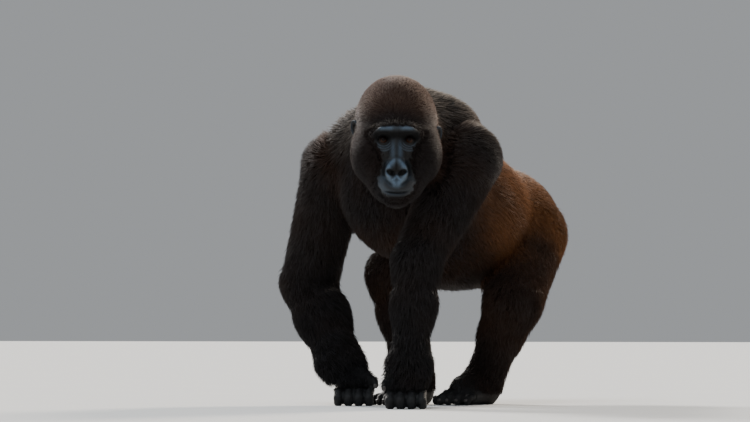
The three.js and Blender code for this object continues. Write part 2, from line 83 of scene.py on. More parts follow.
class Side(Enum):
    """The two sides of the body, with the sign of x on each."""

    RIGHT = -1
    LEFT = 1

    @property
    def word(self) -> str:
        """The side's name in the names of pieces."""
        return self.name.lower()


# ------------------------------------------------------------------ forms
def unit(v: Point) -> Array:
    """The direction of a vector."""
    a = np.asarray(v, float)
    return a / np.linalg.norm(a)


def units(v: Array) -> Array:
    """The directions of many vectors."""
    return v / np.maximum(np.linalg.norm(v, axis=1), 1e-9)[:, None]


def smooth(a: float, b: float, x: Array) -> Array:
    """A smooth step from 0 at a to 1 at b; a may be the larger."""
    t = np.clip((x - a) / (b - a), 0.0, 1.0)
    return t * t * (3.0 - 2.0 * t)


def hump(d: Array, width: float) -> Array:
    """A bell of height 1 over d, falling off in about a width."""
    return np.exp(-((d / width) ** 2))


def smooth_min(a: Array, b: Array, k: float) -> Array:
    """The lesser of two distances, with the seam rounded over k."""
    h = np.maximum(k - np.abs(a - b), 0.0) / k
    return np.minimum(a, b) - h * h * k * 0.25


def blob(centre: Point, radii: Point) -> Form:
    """An ellipsoid.

    Args:
        centre: Its centre.
        radii: Its half-sizes along x, y and z.

    Returns:
        The form: the distance to it at each point, negative inside.
    """
    c, r = np.array(centre, float), np.array(radii, float)

    def form(p: Array) -> Array:
        """The distance at each point.

        Args:
            p: The points.

        Returns:
            The distance of each.
        """
        q = (p - c) / r
        near = np.linalg.norm(q, axis=1)
        steep = np.linalg.norm(q / r, axis=1) + 1e-9
        return near * (near - 1.0) / steep

    return form


def bone(start: Point, end: Point, r_start: float, r_end: float) -> Form:
    """A rod with round ends whose radius changes evenly from end to end.

    Args:
        start: The middle of its first end.
        end: The middle of the other.
        r_start: The radius at the first end.
        r_end: The radius at the other.

    Returns:
        The form.
    """
    a = np.array(start, float)
    d = np.array(end, float) - a
    n = float(d @ d)

    def form(p: Array) -> Array:
        """The distance at each point.

        Args:
            p: The points.

        Returns:
            The distance of each.
        """
        q = p - a
        t = np.clip(q @ d / n, 0.0, 1.0)
        return np.linalg.norm(q - t[:, None] * d, axis=1) - (r_start + t * (r_end - r_start))

    return form


def blend(k: float, *forms: Form) -> Form:
    """Forms joined into one, each seam rounded over k.

    Args:
        k: How wide the seams are rounded.
        *forms: The forms to join.

    Returns:
        The joined form.
    """

    def form(p: Array) -> Array:
        """The distance at each point.

        Args:
            p: The points.

        Returns:
            The distance of each.
        """
        out = np.full(len(p), FAR)
        for f in forms:
            out = smooth_min(out, f(p), k)
        return out

    return form


def within(centre: Point, reach: float, form: Form) -> Form:
    """A form that is worked out only near a centre, and is far off elsewhere.

    Args:
        centre: The middle of a ball that holds the form.
        reach: The ball's radius.
        form: The form.

    Returns:
        The form as it is in the ball.
    """
    c = np.array(centre, float)

    def near_form(p: Array) -> Array:
        """The distance at each point.

        Args:
            p: The points.

        Returns:
            The distance of each.
        """
        out = np.full(len(p), FAR)
        near = ((p - c) ** 2).sum(axis=1) < reach * reach
        if near.any():
            out[near] = form(p[near])
        return out

    return near_form


def chain(points: Sequence[Point], radii: Sequence[float], k: float) -> Form:
    """Bones laid end to end through points, with a radius at each."""
    pairs = zip(points, points[1:], radii, radii[1:])
    return blend(k, *[bone(a, b, r, s) for a, b, r, s in pairs])


def nearest(p: Array, spots: Iterable[Point]) -> Array:
    """How far each point is from the nearest of some spots."""
    return np.min([np.linalg.norm(p - np.array(spot), axis=1) for spot in spots], axis=0)


@dataclass(frozen=True)
class Place:
    """A spot on the body with axes of its own: x to the left, y forward, z up."""

    origin: tuple
    forward: tuple

    @cached_property
    def axes(self) -> Array:
        """The three axes, one in each row.

        Returns:
            The axes, as directions of the body.
        """
        y = unit(self.forward)
        x = -unit(np.cross(y, UP))
        z = np.cross(y, x)
        return np.array([x, y, z if z[2] > 0 else -z])

    def local(self, p: Array) -> Array:
        """Points seen from this place."""
        return (p - np.array(self.origin)) @ self.axes.T

    def at(self, x: float, y: float, z: float) -> Array:
        """The point at x, y, z of this place."""
        return np.array(self.origin) + self.turn(x, y, z)

    def turn(self, x: float, y: float, z: float) -> Array:
        """The direction x, y, z of this place."""
        return np.array([x, y, z], float) @ self.axes

    def hold(self, form: Form) -> Form:
        """A form given in this place's axes, seen from the body."""
        return lambda p: form(self.local(p))


def heading(degrees: float) -> tuple:
    """The level direction turned from straight ahead to the left."""
    a = math.radians(degrees)
    return (math.sin(a), -math.cos(a), 0.0)


# ------------------------------------------------------------------ the body
JOINT = {
    "shoulder_right": (-212, 12, 660), "shoulder_left": (218, -10, 676),
    "elbow_right": (-340, 84, 345), "elbow_left": (171, -202, 395),
    "wrist_right": (-190, 0, 122), "wrist_left": (184, -268, 122),
    "hip_right": (-98, 509, 478), "hip_left": (132, 515, 480),
    "knee_right": (-150, 242, 368), "knee_left": (196, 304, 288),
    "ankle_right": (-76, 216, 92), "ankle_left": (100, 322, 82),
}
HEAD = Place((157, -291, 712), heading(30))  # midway between the eyes
HAND = {Side.RIGHT: Place((-122, -36, 0), heading(26)), Side.LEFT: Place((193, -298, 0), heading(24))}
FOOT = {Side.RIGHT: Place((-62, 200, 0), (-0.04, -1, 0)), Side.LEFT: Place((82, 308, 0), (-0.06, -1, 0))}
# Radii at shoulder, elbow, mid forearm and wrist, and at hip, knee, calf and ankle.
ARM_RADII = {Side.RIGHT: (94, 82, 77, 62), Side.LEFT: (100, 70, 61, 47)}
LEG_RADII = {Side.RIGHT: (118, 86, 70, 60), Side.LEFT: (118, 86, 66, 56)}
KNUCKLE_HEIGHT = 66  # of the back of the hand, where the fingers start
NECK_CUT = ((35, -78, 735), (0.35, -0.85, 0.38))  # a point of it and the way to the head
CHEST_END, BELLY_END = 215, 430  # the cuts across the trunk, by their y
CROWN_LOW = 22  # where the crown's fur gives way to the cheeks', above the eyes
EYE_X, EYE_Y, EYE_Z, EYE_RADIUS = 34.0, 71.0, -2.0, 12.5
EYE_RING_STRETCH = 1.12  # how much wider than high the rings round an eye are
BROW_DROP = 0.0022  # how fast the hairline falls to the sides
EAR = {
    Side.LEFT: Place(tuple(HEAD.at(110, -24, 20)), tuple(HEAD.turn(0.80, 0.58, -0.1))),
    Side.RIGHT: Place(tuple(HEAD.at(-109, -24, 36)), tuple(HEAD.turn(-0.80, 0.58, -0.1))),
}


def joint(name: str, side: Side) -> Array:
    """The place of a joint on one side."""
    return np.array(JOINT[f"{name}_{side.word}"], float)


def pair(make: Callable[[float], Form]) -> list[Form]:
    """A form on the left of the middle plane and its twin on the right."""
    return [make(1.0), make(-1.0)]


@dataclass
class Head:
    """The head: skull, muzzle, brow, nose, lips and lids, with the creases of the face."""

    place: Place = HEAD
    nose_half: float = 40.0  # half the width of the bare skin beside the nose
    goggle_reach: float = 28.0  # how much farther it goes round the eyes
    muzzle_reach: float = 13.0  # and round the mouth
    hairline: float = 36.0

    def form(self) -> Form:
        """The head as one form in the body's frame.

        Returns:
            The form.
        """
        skull = blend(
            30,
            blob([0, -34, 62], [108, 118, 116]),  # crown
            *pair(lambda s: blob([s * 60, -10, -34], [63, 80, 84])),  # cheeks
            blob([0, 22, -108], [76, 78, 66]),  # jaw
            blob([0, 32, 30], [66, 56, 34]),  # forehead
            blob([0, 35, -16], [64, 48, 45]),  # round the eyes
        )
        muzzle = blend(
            22,
            blob([0, 60, -120], [54, 76, 48]),  # upper jaw
            blob([0, 80, -160], [33, 34, 22]),  # chin
            bone([0, 62, 14], [0, 98, -60], 13, 25),  # bridge of the nose
        )
        brow = blend(
            12,
            *pair(lambda s: bone([0, 87, 26], [s * 36, 88, 29], 12.5, 13)),
            *pair(lambda s: bone([s * 36, 88, 29], [s * 62, 64, 15], 13, 9)),
        )
        nose = blend(
            7,
            *pair(lambda s: blob([s * 17.5, 113, -91], [15, 27, 28])),  # wings
            blob([0, 113, -70], [15, 23, 22]),  # tip
        )
        lower_lids = pair(lambda s: bone([s * 24, 74, -14], [s * 45, 67, -12], 7.5, 6.5))
        upper_lids = pair(lambda s: bone([s * 22, 76, 8], [s * 46, 69, 5], 6.5, 6))
        eyeballs = pair(lambda s: blob([s * EYE_X, EYE_Y, EYE_Z], [EYE_RADIUS + 1.6] * 3))
        lids = blend(4, *lower_lids, *upper_lids, *eyeballs)
        lip = bone([-15, 107, -151], [15, 107, -151], 5, 5)

        def whole(p: Array) -> Array:
            """The distance at each point of the head's frame.

            Args:
                p: Points of the head's frame.

            Returns:
                The distance of each.
            """
            d = smooth_min(blend(16, skull, muzzle)(p), brow(p), 12)
            d = smooth_min(smooth_min(d, nose(p), 8), lids(p), 5)
            return smooth_min(d, lip(p), 16) + self.creases(p)

        return self.place.hold(whole)

    def creases(self, p: Array) -> Array:
        """How deep the holes and folds of the face go in at points of the head's frame.

        Args:
            p: Points of the head's frame.

        Returns:
            The depth at each, in millimetres.
        """
        x, y, z = p.T
        ax = np.abs(x)
        front = smooth(30, 60, y)
        hole = np.hypot((ax - 16) / 13.2, (z + 90 - 0.32 * (ax - 16)) / 10.2)
        nostril = 10 * (1 - smooth(0.35, 1.12, hole))
        mouth = 5 * hump(z + 143 - ax * ax * 0.005, 3.6 - 0.04 * ax) * (1 - smooth(16, 38, ax))
        septum = 2.2 * hump(ax, 4) * hump(z + 114, 14) + 4 * hump(ax, 3.5) * hump(z + 72, 15)
        socket = 8 * hump(np.hypot((ax - EYE_X - 2) / 1.7, z - 3), 11)
        ring = np.hypot(ax / 33, (z + 88) / 37) - 1
        wing = 4.5 * hump(ring, 0.13) * smooth(-40, -60, z) * smooth(6, 16, ax)
        ex, ez = ax - EYE_X, z - EYE_Z
        slit = np.hypot(ex / 9.2, (ez + 0.6 - 0.008 * ex * ex) / np.where(ez > 0, 3.3, 4.2))
        opening = 5.2 * (1 - smooth(0.82, 1.16, slit)) * smooth(EYE_Y - 2, EYE_Y + 5, y)
        fold = np.hypot(ex / EYE_RING_STRETCH, ez)
        below = smooth(1, -7, ez) * smooth(30, 18, np.abs(ex + 1))
        bags = sum(a * hump(fold - r, 1.6) for r, a in ((14, 1.6), (19, 2.0), (25, 1.7), (31.5, 1.2)))
        above = 0.9 * hump(fold - 12.5, 1.4) * smooth(0, 5, ez)
        frown = 1.3 * hump(ax - 7, 1.8) * hump(z - 12, 12) + 1.1 * hump(z - 4 + 0.35 * ax, 2) * hump(ax, 14)
        frown = frown + 1.4 * hump(np.abs(ax + 0.5 * (z + 28)) - 7, 1.6) * hump(z + 26, 11) * hump(ax, 13)
        cheek = 1.6 * hump(ax - 38 - 0.32 * (-60 - z), 3.2) * hump(z + 82, 26)
        chin = 1.3 * hump(z + 163 - 0.002 * ax * ax, 3) * (1 - smooth(18, 30, ax))
        return front * (nostril + mouth + septum + socket + wing + opening + bags * below
                        + above + frown + cheek + chin)

    def bare(self, p: Array) -> Array:
        """How bare the skin is at points of the body: 1 on the face, 0 under the coat.

        Args:
            p: Points of the body.

        Returns:
            How bare each is, from 0 to 1.
        """
        x, y, z = self.place.local(p).T
        half = self.nose_half + self.goggle_reach * hump(z - 8, 27) + self.muzzle_reach * hump(z + 112, 27)
        half = half - 20 * smooth(-134, -162, z)
        ragged = 2.5 * np.sin(z * 0.31 + 2 * np.sin(x * 0.17)) + 1.5 * np.sin(z * 0.13 + x * 0.4)
        brow = self.hairline - BROW_DROP * x * x + 0.5 * ragged
        inside = 1 - smooth(0.82, 1.16, (np.abs(x) + ragged) / half)
        return inside * smooth(brow + 3, brow - 4, z) * smooth(-165, -149, z) * smooth(0, 25, y)

    def polish(self, p: Array) -> Array:
        """Where the bare face is smoother and carries a painted bluish highlight: brow, nose and upper lip.

        Args:
            p: Points of the body.

        Returns:
            How smooth each is and how strong its painted highlight, from 0 to 1.
        """
        x, y, z = self.place.local(p).T
        ax = np.abs(x)
        # Each term is a painted bluish highlight; the same share also makes the skin less rough.
        brow = 0.8 * hump(z - 28, 5.6) * smooth(58, 38, ax) * (0.3 + 0.7 * smooth(5, 18, ax))
        bridge = 0.5 * hump(ax - 10, 6) * hump(z + 30, 24)
        wings = hump(np.hypot(ax / 30, (z + 88) / 38) - 0.82, 0.26) * smooth(-44, -60, z)
        wings = wings * (1 - 0.65 * hump(ax, 6) * smooth(-92, -80, z))
        rims = hump(np.hypot((ax - 16) / 15, (z + 94) / 15) - 1.1, 0.3) * smooth(-94, -102, z)
        ring = hump(np.hypot(ax / 50, (z + 116) / 34) - 0.86, 0.24)
        # Painted highlight, brighter on one side of the muzzle than the other.
        muzzle = (0.28 - 0.16 * smooth(-10, 30, x)) * ring * smooth(-86, -104, z)
        fold = np.hypot((ax - EYE_X) / EYE_RING_STRETCH, z - EYE_Z)
        # Painted highlights on the ridges of the folds under the eyes.
        ridges = 0.34 * sum(hump(fold - r, 1.9) for r in (16.5, 22.0, 28.3))
        ridges = ridges * smooth(-2, -9, z - EYE_Z) * smooth(26, 12, np.abs(ax - EYE_X + 1))
        most = np.maximum.reduce([brow, bridge, wings, rims, muzzle, ridges])
        return np.clip(most, 0, 1) * smooth(30, 50, y)

    def shade(self, p: Array) -> Array:
        """Where shade is painted on the bare face: in the creases, nostrils and sockets, beside the nose
        and under the brow, with a darker lower lip.

        Args:
            p: Points of the body.

        Returns:
            How dark each is, from 0 to 1.
        """
        q = self.place.local(p)
        x, y, z = q.T
        # Painted shadow under the brow, and painted shade in the folds beside the nose.
        under_brow = hump(z - 11, 9.5) * smooth(70, 54, np.abs(x))
        by_nose = 0.5 * hump(np.abs(x) - 33 - 0.1 * (-60 - z), 5) * hump(z + 74, 26)
        lower_lip = 0.4 * hump(z + 155, 8) * smooth(42, 26, np.abs(x))
        dark = self.creases(q) / 6 + under_brow + by_nose + lower_lip
        return np.clip(dark, 0, 1) * smooth(20, 40, y)


@dataclass
class Limbs:
    """The arms and legs: bones with flesh, palms, soles, fingers and toes."""

    finger_pitch: float = 28.6
    finger_radius: float = 13.9
    sole_sink: float = 3.0  # how far the lowest flesh is pressed flat by the ground

    def upper_arm(self, side: Side) -> Form:
        """Shoulder to elbow."""
        rs, re, _, _ = ARM_RADII[side]
        return bone(joint("shoulder", side), joint("elbow", side), rs, re)

    def forearm(self, side: Side) -> Form:
        """Elbow to wrist.

        Args:
            side: The side of the body.

        Returns:
            The form.
        """
        _, re, rm, rw = ARM_RADII[side]
        e, w = joint("elbow", side), joint("wrist", side)
        return blend(30, bone(e, e + (w - e) * 0.45, re * 0.97, rm), bone(e + (w - e) * 0.4, w, rm, rw))

    def palm(self, side: Side) -> Form:
        """The hand without its fingers, from the wrist to the knuckles.

        Args:
            side: The side of the body.

        Returns:
            The form.
        """
        s, place = side.value, HAND[side]
        wx, wy, wz = place.local(joint("wrist", side)[None])[0]
        return place.hold(blend(
            20,
            bone([wx - s * 22, wy, wz - 4], [-s * 34, -2, KNUCKLE_HEIGHT], 30, 20),
            bone([wx, wy + 4, wz - 4], [0, 0, KNUCKLE_HEIGHT], 33, 22),
            bone([wx + s * 22, wy, wz - 4], [s * 34, -2, KNUCKLE_HEIGHT], 30, 20),
            bone(*self.web(side), 13, 9),
        ))

    def inner_edge(self, side: Side, steps: Iterable[tuple]) -> list:
        """Points along the inner edge of a hand, in the hand's frame.

        Args:
            side: The side of the body.
            steps: For each point, its share of the way from the wrist to the knuckles, how far it
                lies to the inside and how far forward.

        Returns:
            The points.
        """
        wx, _, wz = HAND[side].local(joint("wrist", side)[None])[0]
        return [[wx * (1 - min(t, 1)) - side.value * inside, forward, wz + (KNUCKLE_HEIGHT - wz) * t]
                for t, inside, forward in steps]

    def web(self, side: Side) -> list:
        """The two ends of the fold of skin that joins the thumb to the palm, in the hand's frame."""
        return self.inner_edge(side, ((0.45, 34, -4), (1.0, 44, 2)))

    def fingers(self, side: Side) -> list:
        """The four fingers, curled on their middle bones, and the thumb.

        Args:
            side: The side of the body.

        Returns:
            Five forms, the thumb last.
        """
        s, place, sink = side.value, HAND[side], self.sole_sink
        out = []
        for i, size in enumerate([0.95, 1, 0.98, 0.88]):
            x, r = s * (i - 1.5) * self.finger_pitch, self.finger_radius * size
            path = [[x, -6, 44], [x, 16, 37], [x, 33 * size, 22], [x, 26 * size, r - sink],
                    [x, 6, r - sink], [x, -14 * size, r - sink + 1], [x, -24 * size, 20]]
            radii = [r, r * 0.95, r * 1.03, r * 0.97, r * 0.9, r * 0.86, r * 0.78]
            out.append(place.hold(chain(path, radii, 3)))
        thumb = self.inner_edge(side, ((0.3, 40, -8), (0.65, 52, -6), (0.95, 58, 0), (1.15, 60, 8)))
        out.append(place.hold(chain(thumb, [12.5, 11.6, 11.9, 10.2], 4)))
        return out

    def thigh(self, side: Side) -> Form:
        """Hip to knee."""
        rh, rk, _, _ = LEG_RADII[side]
        return bone(joint("hip", side), joint("knee", side), rh, rk)

    def shank(self, side: Side) -> Form:
        """Knee to ankle.

        Args:
            side: The side of the body.

        Returns:
            The form.
        """
        _, rk, rc, ra = LEG_RADII[side]
        k, a = joint("knee", side), joint("ankle", side)
        return blend(30, bone(k, k + (a - k) * 0.4, rk * 0.92, rc), bone(k + (a - k) * 0.35, a, rc, ra))

    def sole(self, side: Side) -> Form:
        """The foot without its toes.

        Args:
            side: The side of the body.

        Returns:
            The form.
        """
        s = side.value
        return FOOT[side].hold(blend(
            24,
            blob([0, -26, 32], [36, 40, 36]),  # heel
            bone([s * 6, -6, 60], [-s * 2, 78, 50], 44, 33),  # instep
            bone([s * 6, -20, 28], [s * 27, 100, 22], 30, 23),  # outer edge
            bone([0, -20, 28], [-s * 12, 102, 26], 30, 25),  # ball
            bone([-s * 8, 0, 28], [-s * 42, 62, 22], 28, 21),  # to the great toe
        ))

    def toes(self, side: Side) -> list:
        """The second to fifth toes, and the great toe that stands out to the inside.

        Args:
            side: The side of the body.

        Returns:
            Five forms, the great toe last.
        """
        s, place, sink = side.value, FOOT[side], self.sole_sink
        out = []
        for i, (r, length) in enumerate(zip((11.9, 11.5, 11.2, 10.8), (52, 54, 48, 40))):
            x, y = s * (-25 + i * 24.6), 106 - i * 2.5
            path = [[x, y - 6, 30 - i * 2.5], [x, y + length * 0.4, 32 - i * 3],
                    [x, y + length * 0.8, 22 - i], [x, y + length, r - sink]]
            out.append(place.hold(chain(path, [r, r * 0.97, r * 1.05, r * 0.92], 4)))
        reach = unit([-s * 0.66, 0.75, 0])
        big = [np.array([-s * 36, 50, h]) + reach * t for t, h in ((0, 22), (22, 19), (44, 16), (62, 11))]
        out.append(place.hold(chain(big, [18, 15.8, 15.8, 13.5], 5)))
        return out


@dataclass
class Body:
    """The whole gorilla as one form, with the parts that its coat is told apart by."""

    head: Head = field(default_factory=Head)
    limbs: Limbs = field(default_factory=Limbs)

    @cached_property
    def trunk(self) -> Form:
        """Chest, shoulders, belly and rump, with the neck.

        Returns:
            The form.
        """
        return blend(
            60,
            blob([0, 70, 618], [200, 215, 222]),  # chest
            blob([14, 30, 748], [168, 150, 128]),  # withers
            bone([8, 100, 648], [18, 500, 522], 168, 150),  # back
            blob([6, 320, 518], [203, 235, 198]),  # belly
            blob([22, 560, 500], [172, 195, 175]),  # rump
            bone([-126, 26, 716], [128, 32, 746], 96, 100),  # shoulder blades
            bone([30, -20, 735], HEAD.at(0, -95, 10), 130, 118),  # neck
        )

    @cached_property
    def head_form(self) -> Form:
        """The head, worked out only near it."""
        return within(HEAD.at(0, -10, -20), 250, self.head.form())

    @cached_property
    def outline(self) -> Form:
        """The surface of the whole animal, out to the tips of its coat.

        Returns:
            The form.
        """
        limbs = self.limbs
        large = [self.trunk, self.head_form]
        small = []
        for side in Side:
            arm = blend(26, limbs.upper_arm(side), limbs.forearm(side))
            leg = blend(26, limbs.thigh(side), limbs.shank(side))
            large += [within(joint("elbow", side), 520, arm), within(joint("knee", side), 520, leg)]
            large += [within(HAND[side].at(0, 0, 80), 190, limbs.palm(side))]
            large += [within(FOOT[side].at(0, 40, 40), 220, limbs.sole(side))]
            small += [within(HAND[side].at(0, 0, 60), 170, blend(2.5, *limbs.fingers(side)))]
            small += [within(FOOT[side].at(0, 90, 20), 150, blend(2.5, *limbs.toes(side)))]
        fleshy, fine = blend(40, *large), blend(2.5, *small)
        return lambda p: smooth_min(fleshy(p), fine(p), 5)

    def probe(self, p: Array, step: float = 0.6) -> tuple:
        """How far each point is from the surface, and the way out of the surface there.

        Args:
            p: The points.
            step: How far round each point the surface is felt for.

        Returns:
            The distance of each point, and the direction out at each.
        """
        corners = np.array([[1, -1, -1], [-1, -1, 1], [-1, 1, -1], [1, 1, 1]], float)
        d = [self.outline(p + c * step) for c in corners]
        return sum(d) / 4, units(sum(c * e[:, None] for c, e in zip(corners, d)))

    def slopes(self, p: Array, step: float = 0.6) -> Array:
        """The way out of the surface at each point."""
        return self.probe(p, step)[1]


# ------------------------------------------------------------------ the coat's map
@dataclass(frozen=True)
class Fur:
    """The coat of one part of the body, in millimetres.

    depth is how far the skin lies below the tips, and thickness is in tufts for each square metre.
    brown and red say how far the coat turns from black to brown, or to the crown's red-brown.
    """

    depth: float
    length: float
    width: float
    thickness: float
    brown: float = 0.0
    red: float = 0.0


FACE_DEPTH = 0.5  # how far the bare face lies inside the outline
SOLE_DEPTH = 0.8  # and the soles, knuckles and digits
BARE = Fur(depth=SOLE_DEPTH, length=6, width=1.2, thickness=0)


@dataclass
class CoatPart:
    """A part of the body with one kind of fur and one lie."""

    name: str
    form: Form
    fur: Fur
    axis: tuple  # two points: the unwrap's middle line, and the way that the limb runs
    lie: Lie


def steady(direction: Point) -> Lie:
    """A lie that points one way all over."""
    d = unit(direction)
    return lambda p, n: np.broadcast_to(d, p.shape)


def arm_lie(side: Side) -> Lie:
    """Out over the shoulder and to its back, then down along the upper arm.

    Args:
        side: The side of the body.

    Returns:
        The lie.
    """
    down = unit(joint("elbow", side) - joint("shoulder", side))
    over = unit((0.45 * side.value, 0.75, -0.45))

    def lie(p: Array, n: Array) -> Array:
        """The lie at each point."""
        high = smooth(540, 700, p[:, 2])[:, None]
        return units(over * high + (down + (0, 0.2, 0)) * (1 - high))

    return lie


def trunk_lie(p: Array, n: Array) -> Array:
    """Back along the spine, down the flanks, the chest and the rump.

    Args:
        p: The points.
        n: The way out of the skin at each.

    Returns:
        The lie at each.
    """
    side = np.abs(n[:, 0])
    rump = smooth(480, 680, p[:, 1])
    chest = smooth(60, -120, p[:, 1]) * smooth(0.6, -0.1, n[:, 2])
    down = 0.15 + 0.9 * side + 1.6 * rump + 0.9 * chest
    back = 1.0 - 0.8 * rump - 0.5 * chest
    out = np.clip((p[:, 0] - 15) / 70, -1, 1) * 0.3 * smooth(0.2, 0.8, n[:, 2])
    return units(np.stack([out, back, -down], axis=1))


def head_lie(p: Array, n: Array) -> Array:
    """From the face over the crown and the cheeks to the nape and the throat.

    Args:
        p: The points.
        n: The way out of the skin at each; it is not used.

    Returns:
        The lie at each.
    """
    x, _, z = HEAD.local(p).T
    low = smooth(40, -120, z)
    spread = np.clip(x / 110, -1, 1)
    d = np.stack([spread * (0.35 + 0.3 * low), -1.0 + 0.2 * low, 0.25 - 1.1 * low], axis=1)
    return units(d @ HEAD.axes)


@dataclass
class CoatMap:
    """Where each kind of fur grows, how it lies and what colour it has."""

    body: Body

    @cached_property
    def parts(self) -> list:
        """The parts of the coat: the trunk first, then the head, then the limbs.

        Returns:
            The parts.
        """
        limbs = self.body.limbs
        spine = ((10, 0, 660), (20, 560, 510))
        skull = (tuple(HEAD.at(0, -10, -90)), tuple(HEAD.at(0, -30, 70)))
        out = [
            CoatPart("trunk", self.body.trunk, Fur(24, 52, 3.2, 104e3, brown=1.0), spine, trunk_lie),
            CoatPart("head", self.body.head_form, Fur(8, 17, 1.25, 520e3, red=1.0), skull, head_lie),
        ]
        for side in Side:
            w = side.word
            shoulder, elbow, wrist = (joint(n, side) for n in ("shoulder", "elbow", "wrist"))
            hip, knee, ankle = (joint(n, side) for n in ("hip", "knee", "ankle"))
            knuckles, toes = HAND[side].at(0, 0, 50), FOOT[side].at(0, 100, 20)
            runs = [
                ("upper_arm", limbs.upper_arm(side), Fur(23, 56, 3.0, 120e3, 0.10), shoulder, elbow, 0.12),
                ("forearm", limbs.forearm(side), Fur(20, 54, 2.9, 125e3, 0.04), elbow, wrist, 0.3),
                ("hand", limbs.palm(side), Fur(4, 24, 1.9, 120e3), wrist, knuckles, 0.1),
                ("thigh", limbs.thigh(side), Fur(23, 48, 3.0, 112e3, 0.42), hip, knee, 0.12),
                ("shank", limbs.shank(side), Fur(18, 42, 2.7, 128e3, 0.22), knee, ankle, 0.2),
                ("foot", limbs.sole(side), Fur(2, 13, 1.5, 90e3, 0.1), ankle, toes, 0.0),
            ]
            for name, form, fur, start, end, back in runs:
                lie = steady(unit(np.array(end) - start) + (0, back, 0))
                lie = arm_lie(side) if name == "upper_arm" else lie
                out.append(CoatPart(f"{name}_{w}", form, fur, (tuple(start), tuple(end)), lie))
            between = (HAND[side].at(0, 0, 0) + FOOT[side].at(0, 0, 0)) / 2
            digits = within(between, 450, blend(2, *limbs.fingers(side), *limbs.toes(side)))
            out.append(CoatPart(f"digits_{w}", digits, BARE, (tuple(wrist), tuple(knuckles)),
                                steady((0, -1, 0))))
        return out

    def shares(self, p: Array, soften: float = 20.0) -> Array:
        """How much of each part there is at each point.

        Args:
            p: The points.
            soften: How far one part fades into the next.

        Returns:
            One row for each part; the rows add up to 1.
        """
        d = np.stack([part.form(p) for part in self.parts])
        w = np.exp(-np.clip(d - d.min(axis=0), 0, 400) / soften)
        return w / w.sum(axis=0)

    def mix(self, shares: Array, name: str) -> Array:
        """One measure of the fur, mixed by the shares."""
        return np.array([getattr(part.fur, name) for part in self.parts]) @ shares

    def hairless(self, p: Array, n: Array) -> Array:
        """1 where no fur grows: the face, the soles, the undersides of the hands and under the ears.

        Args:
            p: The points.
            n: The way out of the skin at each.

        Returns:
            How hairless each point is, from 0 to 1.
        """
        under = smooth(-0.15, -0.6, n[:, 2]) * smooth(95, 60, p[:, 2])
        low = smooth(52, 30, p[:, 2])
        by_ear = smooth(21, 13, nearest(p, (place.origin for place in EAR.values())))
        return np.maximum.reduce([self.body.head.bare(p), under, low, by_ear])

    def overhang(self, p: Array) -> Array:
        """How far the fur may stand out of the outline: at the wrists, nape and right shoulder.

        Args:
            p: The points.

        Returns:
            How far at each, in millimetres.
        """
        wrists = nearest(p, (joint("wrist", side) for side in Side))
        x, y, z = HEAD.local(p).T
        nape = smooth(-90, -150, y) * smooth(-60, 20, z) * smooth(-60, -110, x)
        shoulder = hump(np.linalg.norm(p - (-195, 5, 750), axis=1), 70)
        return 9 * smooth(120, 50, wrists) + 13 * np.maximum(nape, shoulder)

    def depth(self, p: Array) -> Array:
        """How far the skin lies inside the outline.

        Args:
            p: The points.

        Returns:
            How far at each, in millimetres.
        """
        shares = self.shares(p)
        bare = self.body.head.bare(p)
        _, y, z = HEAD.local(p).T
        nape = smooth(-40, -120, y) * smooth(-160, -60, z)
        head = shares[1]
        deep = self.mix(shares, "depth") + 8 * nape * head
        low = smooth(60, 24, p[:, 2])
        return (deep * (1 - bare) + FACE_DEPTH * bare) * (1 - low) + SOLE_DEPTH * low

    def lie(self, p: Array, n: Array, shares: Array) -> Array:
        """The way that the fur lies at each point, along the skin.

        Args:
            p: The points.
            n: The way out of the skin at each.
            shares: How much of each part there is at each point.

        Returns:
            The lie at each.
        """
        way = sum(s[:, None] * part.lie(p, n) for s, part in zip(shares, self.parts))
        waves = (((0.05, 0.031, 0.043), 0.3), ((-0.037, 0.052, 0.029), 1.7), ((0.033, -0.044, 0.047), 4.1))
        wander = np.stack([np.sin(p @ wave + start) for wave, start in waves], axis=1)
        way = units(way) + 0.16 * wander
        return units(way - (way * n).sum(axis=1)[:, None] * n)

    def brown(self, p: Array, n: Array, shares: Array) -> Array:
        """How brown the coat is: the loins, the flank, the hips and the low breast, with painted warm light
        where it faces the tail and painted shade where it faces the ground.

        Args:
            p: The points.
            n: The way out of the skin at each.
            shares: How much of each part there is at each point.

        Returns:
            How brown each point is.
        """
        y, z = p[:, 1], p[:, 2]
        trunk, head = shares[0], shares[1]
        # Browner where the coat faces the tail, from where the warm light falls: painted warm light.
        faces_warm_light = smooth(-0.1, 0.8, n @ (0.2, 0.95, 0.1))  # faces the tail
        flank = 0.3 + 0.7 * smooth(330, 460, z + 0.3 * (y - 300))
        # Less brown where the trunk faces the ground: painted shade on the underside.
        aft = smooth(50, 300, y) * smooth(-1.1, -0.5, n[:, 2]) * flank
        breast = smooth(560, 470, z) * smooth(120, -60, y)
        hips = smooth(380, 540, z) * smooth(330, 500, y)
        blades = smooth(-50, 60, y) * smooth(450, 600, z)
        limbs = self.mix(shares, "brown") * (0.55 + 0.9 * faces_warm_light) * (1 + 1.3 * hips)
        limbs = limbs + 0.3 * hips
        brown = limbs * (1 - trunk) + trunk * (0.05 + 0.8 * aft + 0.12 * faces_warm_light + 0.22 * breast)
        return brown + 0.28 * faces_warm_light * blades * (1 - aft) * (1 - head)

    def red(self, p: Array, shares: Array) -> Array:
        """How red-brown it is: the crown.

        Args:
            p: The points.
            shares: How much of each part there is at each point.

        Returns:
            How red-brown each point is.
        """
        _, y, z = HEAD.local(p).T
        crown = smooth(34, 96, z + 0.35 * np.minimum(y, 0)) + 0.35 * smooth(30, -60, y)
        return self.mix(shares, "red") * np.clip(0.16 + 0.84 * crown, 0, 1)

